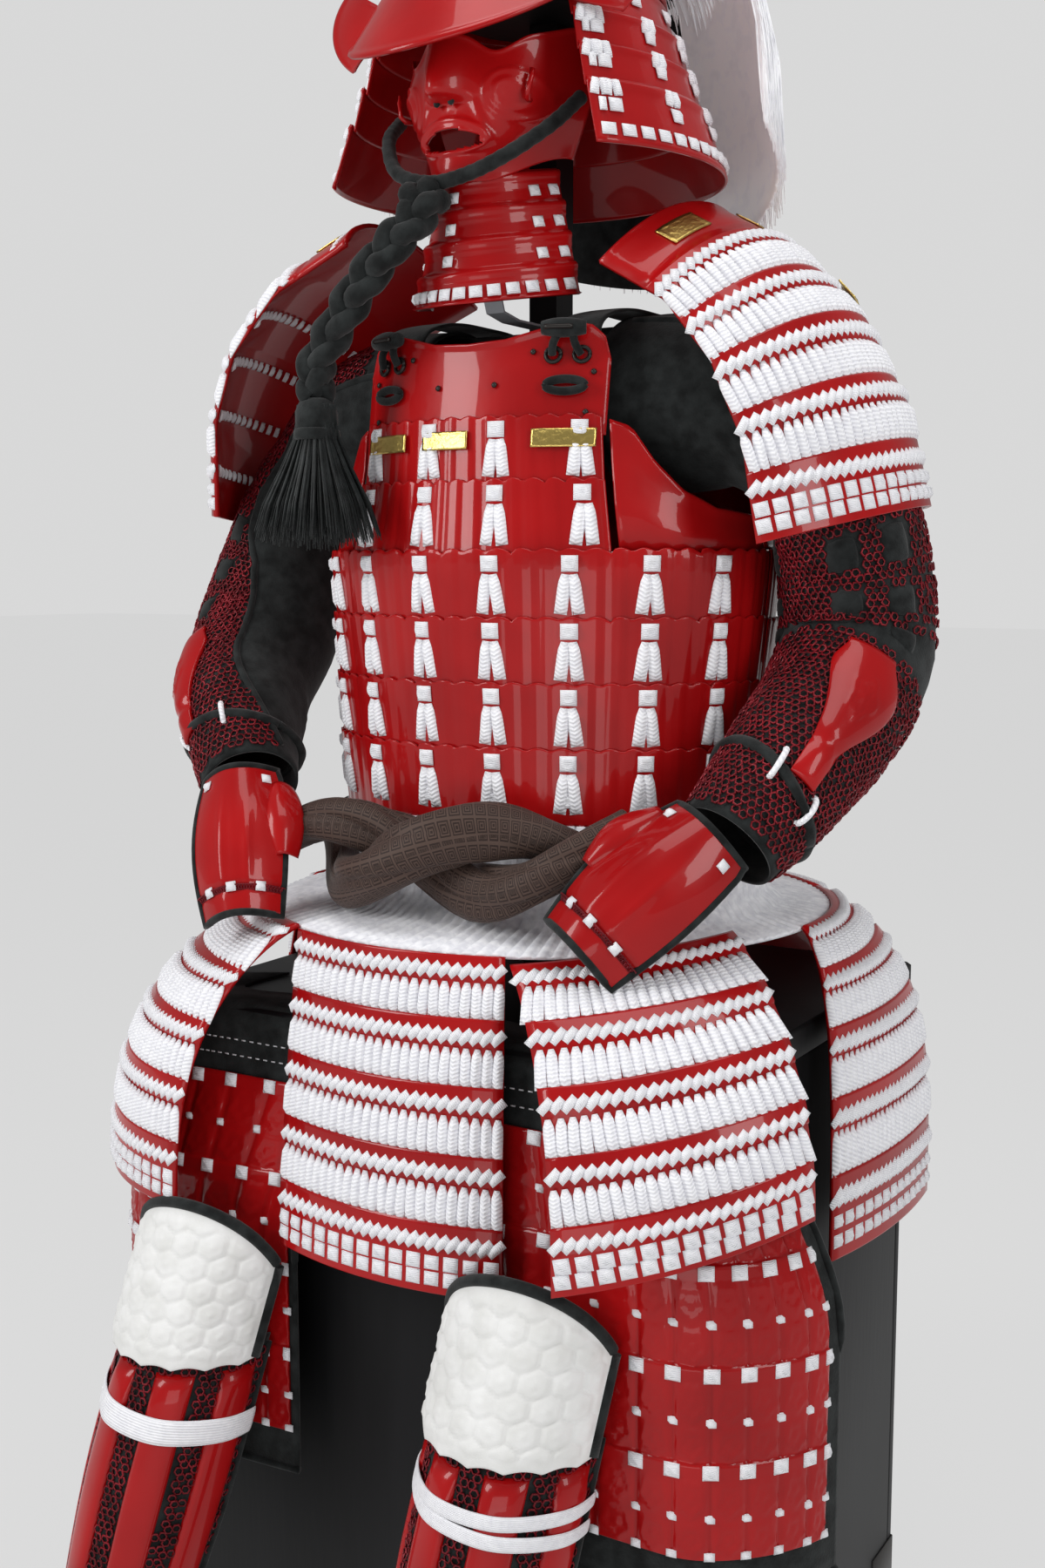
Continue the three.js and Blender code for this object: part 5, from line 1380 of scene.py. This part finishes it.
# Shin guards: rounded splints on mail over black cloth, tied with white bands; quilting at the knees
legs = {
    # bands: height at left, at right, half width
    "left": {"knee": (139, -346.8), "foot": (96, -446), "bands": [(340, 333, 5.5), (336, 313, 5.5)]},
    "right": {"knee": (-190, -346), "foot": (-250, -446), "bands": [(334, 313, 10.5)]},
    "top": 385, "arc": 96, "half": 66, "ankle": 46, "splint": 5, "splintHalf": 0.152,
    "centres": (-0.75, -0.25, 0.25, 0.75), "splintTop": 362, "bandLift": 6.9, "bandStep": 1.2,
    "kneeTop": 508, "kneeLow": 372, "kneeArc": 76, "kneeOut": 8.6, "arch": 58, "hexagon": 21.5,
}


def shinPoint(leg, angle, z, out=0.0):
    t = clamp(z / legs["top"], 0, 1.4)
    (footX, footY), (kneeX, kneeY) = leg["foot"], leg["knee"]
    radius = lerp(legs["ankle"], legs["half"], smooth(t, 0, 0.75)) + out
    return vec(lerp(footX, kneeX, t) + radius * sind(angle),
               lerp(footY, kneeY, t) - radius * cosd(angle) + 66, z)


def hexagonHeight(x, y, size):
    best, second = 1e9, 1e9
    row = round(y / (size * 0.866))
    for r in (row - 1, row, row + 1):
        shift = 0.5 * (r % 2)
        k = round(x / size - shift)
        for c in (k - 1, k, k + 1):
            d = math.hypot(x - (c + shift) * size, y - r * size * 0.866)
            best, second = (d, best) if d < best else (best, min(second, d))
    edge = smooth((second - best) / size, 0.0, 0.2)
    return 1.9 * edge * (1 - 0.5 * (best / size) ** 2) + 1.1 * bump(best, 0, size * 0.12)


for name in ("left", "right"):
    leg = legs[name]
    source = ((leg["knee"][0] + leg["foot"][0]) / 2, -280, 190)
    across = lambda u, z, out=0.0: shinPoint(leg, u * legs["arc"], z, out)

    def splintHeight(u, z):
        w = min(abs(u - c) for c in legs["centres"]) / legs["splintHalf"]
        ends = smooth(legs["splintTop"] - 9 * w * w - z, -4, 9) * smooth(z, 6, 16)
        return max(0, 1 - w**4) ** 0.5 * legs["splint"] * ends if w < 1 else 0

    cloth = wall("shin_cloth", blackCloth, even(40, -1, 1), even(16, 0, legs["top"]), across, source,
                 None, 2.2)
    splints = []
    for c in legs["centres"]:
        reach = legs["splintHalf"] + 0.001
        splints.append(wall("splint", redLacquer, even(16, c - reach, c + reach), even(30, 6, 366),
                            across, source, splintHeight, 0.4, lift=2.2))
    under = lambda u: min(abs(u - c) for c in legs["centres"]) < legs["splintHalf"] + 0.015
    rings, z, row = [], 8, 0
    while z < 376:
        step = mail["pitch"] / (measure(across, even(20, -1, 1), z) / 2)
        for j in range(int(-0.97 / step), int(0.97 / step) + 1):
            u = (j + 0.5 * (row % 2)) * step
            if (j - row // 2 - row) % 3 and (not under(u) or z > 364) and abs(u) < 0.97:
                p, right, up = onSurface(across, u, z, source, lift=2.7, du=0.01, dv=1)
                out = unit(np.cross(right, up))
                rings.append((p, right + out * chance.uniform(-0.25, 0.25),
                              up + out * chance.uniform(-0.25, 0.25), 1.0))
        z += mail["pitch"] * 0.866
        row += 1
    made = [cloth, *splints, repeatOn("shinMail", mailRing, rings, mailMetal)]
    for left, right, half in leg["bands"]:
        low = lambda u: lerp(left, right, (u + 1) / 2)
        over = lambda u: bump(min(abs(u - c) for c in legs["centres"]), 0, 0.13)
        path = lambda u, v: across(u, low(u) + v * half, legs["bandLift"] + legs["bandStep"] * over(u))
        made.append(wall("band", whiteLace, even(80, -0.985, 0.985), even(6, -1, 1), path, source,
                         lambda u, v: 0.9 * (1 - v**4) + 0.15 * math.sin(u * 260), 1.0))
    for side in (-1, 1):
        made.append(tube("edge", blackCloth, [across(side * 0.99, z, 2.6) for z in even(30, 4, 378)],
                         [3.6] * 31, 8))
    made.append(tube("hem", blackCloth, [across(u, 4.5, 2.0) for u in even(40, -1, 1)], [4.0] * 41, 8))
    dress(joined("shin_guard_" + name + "_mailed", made), "red_lacquer", "shin_guard_" + name)

    def kneePoint(u, v):
        top = legs["kneeTop"] - legs["arch"] + legs["arch"] * (1 - u * u)
        z = lerp(top, legs["kneeLow"] + 3.0 * abs(math.sin(u * 11)), v)
        return shinPoint(leg, u * legs["kneeArc"], z, legs["kneeOut"])

    def quilted(u, v):
        p = kneePoint(u, v)
        x, y = u * 88, p[2] - 420
        inset = min(v * 100, (1 - v) * 110, (1 - abs(u)) * 80)
        return 1.0 + smooth(inset, 5, 12) * hexagonHeight(x, y, legs["hexagon"]) + 1.4 * smooth(inset,
                0, 5)
    pad = wall("knee_pad_" + name + "_quilted", whiteQuilt, even(92, -1, 1), even(66), kneePoint,
               (leg["knee"][0], -280, 440), quilted, 1.6)
    dress(pad, "white_quilt", "knee_pad_" + name)
    sides = (0.2, 0.4, 0.7, 0.98)
    rim = [(-0.99, v) for v in sides[::-1]] + [(u, 0.0) for u in even(50, -0.99, 0.99)]
    rim = [kneePoint(u, v) for u, v in rim + [(0.99, v) for v in sides]]
    rim = [p + unit(vec(p[0] - leg["knee"][0], p[1] + 280, 0)) * 2.5 for p in rim]
    bound = tube("knee_binding_" + name, blackCloth, rim, [5.0] * len(rim), 10)
    dress(bound, None)
print("shin guards and knees")

# Helmet: smooth bowl, peak, wings, laced neck guard
head = {"turn": 6, "y": -40, "a": 112, "b": 130, "rim": 1525, "top": 1650}


def fromHead(x, y, z):
    return vec(x * cosd(head["turn"]) + y * sind(head["turn"]),
               -x * sind(head["turn"]) + y * cosd(head["turn"]) + head["y"], z)


def headWall(name, material, us, vs, point, source, *rest, **named):
    return wall(name, material, us, vs, lambda u, v: fromHead(*point(u, v)), fromHead(*source), *rest,
                **named)


def bowlPoint(u, v):
    rise = 90 * (1 - v)
    return (head["a"] * cosd(rise) * sind(u), -head["b"] * cosd(rise) * cosd(u),
            head["rim"] + (head["top"] - head["rim"]) * sind(rise))


bowl = headWall("bowl", redLacquer, even(64, 0, 360)[:-1], [0.002] + even(24)[1:], bowlPoint,
                (0, 0, 1560),
                lambda u, v: 1.6 * bump(v, 0.985, 0.02) + 0.9 * bump(v, 0.9, 0.012), 2.0, closed=True)
cap = tube("finial", goldMetal, [fromHead(0, 0, 1649.5 + d) for d in (0, 2, 4, 8, 10)],
           [20, 20, 12, 12, 8], 20, (0, 1, 0))
studs = []
for a in range(0, 360, 30):
    p, right, up = onSurface(lambda u, v: fromHead(*bowlPoint(u, v)), a, 0.94, fromHead(0, 0, 1560),
                             lift=2.4, du=0.5)
    studs.append((p, right, up, 1.4))
dress(joined("helmet_bowl_shaped", [bowl, cap, repeatOn("bowlStuds", rivet, studs, darkMetal)]),
      "red_lacquer", "helmet_bowl")


peakShape = {"half": 50, "clear": 1.1, "lift": 4, "reach": 0.32, "flare": 0.05, "dip": 80, "rise": 117}


def peakPoint(u, v):
    reach = 1 + (peakShape["reach"] * cosd(1.2 * u) + peakShape["flare"]) * v
    dip = peakShape["dip"] - peakShape["rise"] * (1 - cosd(u))
    return ((head["a"] + peakShape["clear"]) * reach * sind(u),
            -(head["b"] + peakShape["clear"]) * reach * cosd(u), head["rim"] + peakShape["lift"] - v * dip)


peak = headWall("helmet_peak_shaped", redLacquer, even(60, -peakShape["half"], peakShape["half"]),
                even(24), peakPoint, (0, 0, 1465),
                lambda u, v: 1.8 * bump(v, 0.97, 0.03), 1.8)
dress(peak, "red_lacquer", "helmet_peak")
neck = [(1523.6, 110.4, 128.4), (1484, 127, 138), (1455, 138, 145), (1425, 151, 153), (1377, 173, 168)]
for i in range(4):
    (z0, a0, b0), (z1, a1, b1) = neck[i], neck[i + 1]

    def rowPoint(u, v):
        out, rise = (1.95 * (1 - v), 5 * (1 - v)) if i else (0, 0)
        a, b = lerp(a0, a1, v) + out, lerp(b0, b1, v) + out
        return fromHead(a * sind(u), -b * cosd(u), lerp(z0, z1, v) + rise)

    heads = lambda u, v: 2.0 * bump(v, 0.06, 0.07) + (1.5 * bump(v, 0.96, 0.04) if i == 3 else 0)
    made = [wall("row", redLacquer, even(70, 54, 306), even(14), rowPoint, fromHead(0, 0, 1450), heads,
                 1.8)]
    pairs, singles, fans = [57.5, 302.5], [61.5, 298.5, 84, 276, 108, 252, 132, 228, 156, 204, 180], []
    inNeck = fromHead(0, 0, 1450)
    knots = [(*onSurface(rowPoint, u, 0.42, inNeck, lift=3.4, du=0.2), (wide, 1.0, 1))
             for us, wide in ((pairs, 0.5), (singles, 0.95)) for u in us]
    for u in pairs + singles:
        for lean in (-1, 1):
            p, right, up = onSurface(rowPoint, u + lean * 1.4, 0.14, inNeck, lift=2.8, du=0.2)
            fans.append((p, right + up * 0.14 * lean, up - right * 0.14 * lean, (0.8, 0.42, 1)))
    made.append(repeatOn("neckKnots", crossKnot, knots, whiteLace))
    if i:
        made.append(repeatOn("neckFans", fanStrand, fans, whiteLace))
    if i == 3:
        squares = [(*onSurface(rowPoint, u, 0.8, inNeck, lift=3.2, du=0.2), (1.0, 0.9, 1))
                   for u in even(40, 58, 302)]
        made.append(repeatOn("neckSquares", crossKnot, squares, whiteLace))
    dress(joined(f"neck_row_{i + 1}_laced", made), "red_lacquer", f"neck_row_{i + 1}")

for name, side in (("left", 1), ("right", -1)):
    def wingPoint(u, v):
        rounding = math.sqrt(max(0, 1 - 0.55 * u * u))
        return (side * (96 + 70 * v * rounding), -81.8 + 16 * v * v, 1511 + (14 + 20 * v) * u + 6 * v)
    wing = headWall("helmet_wing_" + name + "_shaped", redLacquer, even(40, -1, 1), even(30),
                    wingPoint, (0, 0, 1500),
                    lambda u, v: 1.7 * max(bump(abs(u), 1, 0.1), bump(v, 1, 0.06)), 1.8)
    dress(wing, "red_lacquer", "helmet_wing_" + name)

# Hair hanging from the helmet: a soft under-layer, a black sheet of painted shade behind it, and long fine
# strands
mane = {"rows": [(0, 1643.1, 38, 44), (0.2, 1640, 104, 112), (0.42, 1560, 178, 178),
                 (0.7, 1430, 208, 206), (1, 1312, 216, 214)],
        "strands": 1050, "thread": 0.8, "most": 9.5}


def manePoint(u, v):
    _, z, a, b = between(mane["rows"], v)
    rise = 110 * v * (abs(u - 180) / 98) ** 1.5
    return (a * sind(u), -b * cosd(u), z + rise)


def maneWaves(u, v):
    return v * (1.6 * math.sin(u * 1.7) + 1.2 * math.sin(u * 4.1 + 3 * v) + 0.8 * math.sin(u * 9.3))


under = headWall("under", whiteHair, even(130, 100, 260), even(24, 0.01, 0.95), manePoint, (0, 0, 1450),
                 maneWaves, 3.2, lift=1.2)
# a black sheet behind the hair: painted shade, standing in for the dark gap behind the hair
backing = headWall("backing", blackCloth, even(60, 166, 258), even(24, 0.02, 0.99), manePoint,
                   (0, 0, 1450), None, 1.0)
routes = []
for k in range(mane["strands"]):
    u = 98 + 164 * ((k * 0.61803) % 1.0)
    start, end = 0.02 + 0.3 * chance.random() ** 2, min(1.0, 0.84 + 0.16 * chance.random() ** 0.5)
    stray, high, wave = chance.normal(0, 1.3), 2 + 7 * chance.random(), chance.uniform(0, 6.28)
    route = []
    for s in even(8):
        v = lerp(start, end, s)
        p = np.array(manePoint(clamp(u + stray * s * 2 + 1.1 * math.sin(wave + s * 5), 97, 263), v))
        out = unit(p - np.array((0, 0, p[2])))
        away = min(mane["most"], high * smooth(s, 0, 0.2) + 2.2 * chance.random() * s)
        route.append(fromHead(*(p + out * away)))
    routes.append(route)
hair = strandMesh("strands", whiteHair, routes, mane["thread"])
dress(joined("helmet_hair_strands", [under, backing, hair]), "white_hair", "helmet_hair")
print("helmet")

# Mask: a face with an open mouth, creased cheeks and wire hooks




mask = {"chin": 1362, "brow": 1478, "mouth": 1398, "arc": 84}


def faceAt(u, z, out=0.0):
    t = clamp((z - mask["chin"]) / (mask["brow"] - mask["chin"]), 0, 1)
    a, b = lerp(56, 82, smooth(t, 0, 0.7)), lerp(104, 110, smooth(t, 0, 0.5))
    nose = 24 * bump(u, 0, 11) * smooth(z, 1424, 1432) * (1 - 0.5 * smooth(z, 1436, 1480))
    lips = 6 * bump(u, 0, 30) * bump(z, mask["mouth"], 14)
    cheeks = 9 * bump(abs(u), 38, 16) * bump(z, 1436, 22)
    out += nose + lips + cheeks + 8 * bump(u, 0, 24) * bump(z, 1372, 14)
    return ((a + 0.4 * out) * sind(u), -(b + out) * cosd(0.92 * u), z)


def facePoint(u, v):
    top = mask["brow"] - 16 * bump(abs(u), 30, 13) + 10 * smooth(abs(u), 50, 80)
    return faceAt(u, lerp(top, mask["chin"] + 26 * smooth(abs(u), 24, 84), v))


def inMouth(x, z):
    if abs(x) > 27:
        return False
    k = 1 - (x / 29) ** 2
    return mask["mouth"] - 6 - 5 * k < z < mask["mouth"] - 2 + 7.5 * k


faceUs, faceVs = even(100, -mask["arc"], mask["arc"]), even(70)


def mouthHole(i, j):
    x, _, z = facePoint((faceUs[i] + faceUs[i + 1]) / 2, (faceVs[j] + faceVs[j + 1]) / 2)
    return inMouth(x, z)


def creases(u, v):
    x, _, z = facePoint(u, v)
    lines = 1.5 * bump(abs(x) - 20 - 0.30 * (1440 - z), 0, 2.6)
    lines *= smooth(1436 - z, 0, 12) * smooth(z, 1386, 1398)
    lip = 2.4 * bump(math.hypot(x / 31, (z - mask["mouth"] + 1) / 13), 1, 0.14)
    cheek = 1.1 * sum(bump(math.hypot(abs(x) - 52, z - 1428), r, 2.2) for r in (10, 18))
    return 0.4 + lines + lip + cheek + 1.2 * bump(v, 0.015, 0.02) + 1.2 * bump(abs(u), mask["arc"], 2)


face = headWall("face", redLacquer, faceUs, faceVs, facePoint, (0, 0, 1420), creases, 1.8, skip=mouthHole)
# wire hook on the cheek: angle, height, distance out
hook = [(50, 1424, 2), (50, 1424, 14), (50, 1428, 18), (51, 1440, 18), (51, 1446, 17)]
hooks, paintedNostrilShade = [], []
for side in (-1, 1):
    place = [fromHead(*faceAt(side * a, z, out)) for a, z, out in hook]
    hooks.append(tube("hook", redLacquer, place, [2.2] * len(hook), 10))
    # black discs in the nostrils: painted shade in place of open holes
    place = [fromHead(side * 7.5, faceAt(4, 1427)[1] - 1.0 + d, 1424.5) for d in (0, 1.5)]
    paintedNostrilShade.append(tube("nostril", blackCloth, place, [3.0, 3.0], 12))
dress(joined("mask_shaped", [face, *hooks, *paintedNostrilShade]), "red_lacquer", "mask")


def throatPoint(u, v):
    return fromHead(lerp(54, 84, v) * sind(u), -lerp(99, 116, v) * cosd(u),
                    lerp(1366, 1261, v) + 18 * (1 - cosd(u)))


lames = lambda u, v: 2.6 * bump((v * 4) % 1.0, 0.12, 0.14) + 1.4 * ((v * 4) % 1.0 < 0.5)
inThroat = fromHead(0, 0, 1310)
made = [wall("throat", redLacquer, even(40, -72, 72), even(48), throatPoint, inThroat, lames, 1.6)]
onThroat = lambda u, v: onSurface(throatPoint, u, v, inThroat, lift=3.0, du=0.2)
knots = [(*onThroat(u, (r + 0.62) / 4), (0.8, 0.8, 1)) for r in range(3) for u in (-67, -55, 0, 55, 67)]
knots += [(*onThroat(u, 0.915), (0.9, 0.85, 1)) for u in even(14, -67, 67)]
made.append(repeatOn("throatKnots", crossKnot, knots, whiteLace))
made.append(tube("throatRim", redLacquer, [throatPoint(u, 0.005) for u in even(40, -72, 72)],
                 [3.0] * 41, 10))
dress(joined("throat_guard_laced", made), "red_lacquer", "throat_guard")
print("mask and throat guard")

# Shoulder straps, ties and metal fittings of the chest
fittings = {
    "across": 88, "tieHeight": 1219, "toggleHeight": 1240, "slotHeight": 1194, "plaqueHeight": 1151,
    # place, half width and height
    "plaques": [(-15, 46, 15), (90, 50, 15), (-84, 50, 15)],
    "studs": [(-108, 1205), (-60, 1222), (60, 1222), (108, 1205), (-104, 1172), (104, 1172),
              (28, 1196), (-28, 1196)],
}
for name, side in (("left", 1), ("right", -1)):
    route = [vec(0, y, z) for y, z in ((-108.2, 1216), (-101, 1245), (-60, 1260), (0, 1263),
                                       (60, 1260), (96, 1246), (101, 1216))]
    strap = wall("strap", blackCloth, even(12, -20, 20), even(60),
                 lambda u, v: alongCurve(route, v) + vec(side * fittings["across"] + u, 0, 0),
                 (side * fittings["across"], 0, 1180), lambda u, v: 0.8 * (1 - (u / 20) ** 4), 2.4)
    dress(strap, "black_cloth", "shoulder_strap_" + name)


def chestAt(x, z, out=0.0):
    _, a, b = between(bodyTable, z)
    return vec(x, -(b + out) * math.sqrt(1 - (x / (a + out)) ** 2), z)


plaqueMade = []
for x, half, tall in fittings["plaques"]:
    panel = lambda u, v: chestAt(x + u * half / 2, fittings["plaqueHeight"] + v * tall / 2, 6.0)
    plaqueMade.append(wall("plaque", goldMetal, even(24, -1, 1), even(8, -1, 1), panel,
                           (0, 0, fittings["plaqueHeight"]), plaqueRelief, 0.9))
studs = [onSurface(lambda u, v: chestAt(u, v, 2.0), x, z, (0, 0, z), lift=0.2, du=0.5, dv=-0.5)
         for x, z in fittings["studs"]]
plaqueMade.append(repeatOn("chestStuds", rivet, [(p, r, q, 1.2) for p, r, q in studs], darkMetal))
for x in (-fittings["across"], fittings["across"]):
    tie, bar, hole = fittings["tieHeight"], fittings["toggleHeight"], fittings["slotHeight"]
    for gap in (-11, 11):
        ring = [chestAt(x + gap + 6 * cosd(a), tie + 6 * sind(a), 3.4) for a in even(20, 0, 360)]
        lace = [chestAt(x + gap * (1 - s * 0.6), tie + 21 * s, 5 + 5 * sind(180 * s)) for s in even(14)]
        plaqueMade += [tube("eyelet", darkMetal, ring, [1.8] * 21, 8),
                       tube("toggleLace", blackCloth, lace, [3.4] * 15, 10)]
    swell = [5.5 + 2.5 * (1 - (2 * k / 12 - 1) ** 2) for k in range(13)]
    slot = [chestAt(x + 15 * cosd(a), hole + 5 * sind(a), 4.5) for a in even(28, 0, 360)]
    plaqueMade += [
        tube("toggle", blackCloth, [chestAt(x + d, bar, 12) for d in even(12, -17, 17)], swell, 14),
        tube("toggleBar", darkMetal, [chestAt(x + d, bar, 20) for d in even(8, -11, 11)], [2.0] * 9, 8),
        tube("laceSlot", blackCloth, slot, [3.6] * 29, 10)]
dress(joined("chest_fittings", plaqueMade), None)
print("chest fittings")

# Storage box and stand: black boards, dark bronze corners, cloth strap under the throat guard
box = {"width": 540, "depth": 470, "height": 632, "rise": 660.3, "overhang": 4, "board": 12, "plate": 58}


def roundedBlock(name, material, low, high, rounding=2.0):
    x0, y0, z0 = low
    x1, y1, z1 = high
    loops = []
    for z, inset in ((z0, rounding), (z0 + rounding, 0), (z1 - rounding, 0), (z1, rounding)):
        loop = []
        for cx, cy, start in ((x1, y1, 0), (x0, y1, 90), (x0, y0, 180), (x1, y0, 270)):
            sx, sy = (-1 if cx == x1 else 1), (-1 if cy == y1 else 1)
            for k in range(5):
                a = start + 90 * k / 4
                loop.append(vec(cx + sx * (rounding + inset) + rounding * cosd(a),
                                cy + sy * (rounding + inset) + rounding * sind(a), z))
        loops.append(loop)
    points = [p for loop in loops for p in loop]
    n = len(loops[0])
    faces = [(j * n + i, j * n + (i + 1) % n, (j + 1) * n + (i + 1) % n, (j + 1) * n + i)
             for j in range(3) for i in range(n)]
    faces += [list(range(n))[::-1], [3 * n + i for i in range(n)]]
    return makeMesh(name, points, faces, material, [(0, 0)] * len(points), shade=False)


w, d = box["width"] / 2, box["depth"] / 2
board, tall, plate = box["board"], box["height"], box["plate"]
made = [roundedBlock("front", blackWood, (-w, -d, 0), (w, -d + board, tall)),
        roundedBlock("rear", blackWood, (-w, d - board, 0), (w, d, tall)),
        roundedBlock("sideLeft", blackWood, (w - board, -d + board, 0), (w, d - board, tall)),
        roundedBlock("sideRight", blackWood, (-w, -d + board, 0), (-w + board, d - board, tall)),
        roundedBlock("base", blackWood, (-w + board, -d + board, 0), (w - board, d - board, board))]
for sx in (-1, 1):
    for sy in (-1, 1):
        for z in (3, tall - plate - 5):
            x0, y0 = sx * (w + 1.2), sy * (d + 1.2)
            for lowCorner, highCorner in (((x0, y0, z), (x0 - sx * plate, y0 - sy * 2.4, z + plate)),
                                          ((x0, y0, z), (x0 - sx * 2.4, y0 - sy * plate, z + plate))):
                low = tuple(min(a, b) for a, b in zip(lowCorner, highCorner))
                high = tuple(max(a, b) for a, b in zip(lowCorner, highCorner))
                made.append(roundedBlock("corner", darkMetal, low, high, 0.8))
dress(joined("box_body_boards", made), "black_wood", "box_body")
past = box["overhang"]
lid = roundedBlock("lid", blackWood, (-w - past, -d - past, tall + 0.3),
                   (w + past, d + past, box["rise"]),
                   3.0)
dress(joined("box_lid_boards", [lid]), "black_wood", "box_lid")
for name, material in (("stand_post", blackWood), ("stand_head", blackWood),
                       ("stand_neck_strap", greyStrap)):
    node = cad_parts[name]
    node.data.materials.clear()
    node.data.materials.append(material)
print("box and stand")

# Light, floor and backdrop
world = bpy.data.worlds.new("studio")
bpy.context.scene.world = world
world.use_nodes = True
seen = world.node_tree.nodes["Background"]
seen.inputs["Color"].default_value = (studio["backdrop"],) * 3 + (1,)
fill = world.node_tree.nodes.new("ShaderNodeBackground")
fill.inputs["Color"].default_value = (1, 1, 1, 1)
fill.inputs["Strength"].default_value = studio["fill"]
choose = world.node_tree.nodes.new("ShaderNodeMixShader")
ray = world.node_tree.nodes.new("ShaderNodeLightPath")
world.node_tree.links.new(ray.outputs["Is Camera Ray"], choose.inputs[0])
world.node_tree.links.new(fill.outputs[0], choose.inputs[1])
world.node_tree.links.new(seen.outputs[0], choose.inputs[2])
world.node_tree.links.new(choose.outputs[0], world.node_tree.nodes["World Output"].inputs["Surface"])


def softbox(name, place, target, size, power):
    data = bpy.data.lights.new(name, "AREA")
    data.shape, data.size, data.size_y, data.energy = "RECTANGLE", size[0], size[1], power
    lamp = bpy.data.objects.new(name, data)
    bpy.context.scene.collection.objects.link(lamp)
    lamp.location = place
    lamp.rotation_euler = (Vector(target) - Vector(place)).to_track_quat("-Z", "Y").to_euler()


for name, place, target, size in studio["boxes"]:
    softbox("softbox" + name.capitalize(), place, target, size, studio[name])

paleFloor = finish("paleFloor", (0.12, 0.12, 0.12), 0.9, specular=0.0)
paleFloor.node_tree.nodes["Principled BSDF"].inputs["Emission Color"].default_value = (1, 1, 1, 1)
paleFloor.node_tree.nodes["Principled BSDF"].inputs["Emission Strength"].default_value = studio["floorGlow"]
reach = 30000
floor = makeMesh("floor", [(-reach, -reach, 0), (reach, -reach, 0), (reach, reach, 0),
                           (-reach, reach, 0)], [(0, 1, 2, 3)], paleFloor)
floor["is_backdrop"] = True

for shape in motifs:
    bpy.data.objects.remove(shape)

made = [list(corner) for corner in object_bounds()]
print("finished")
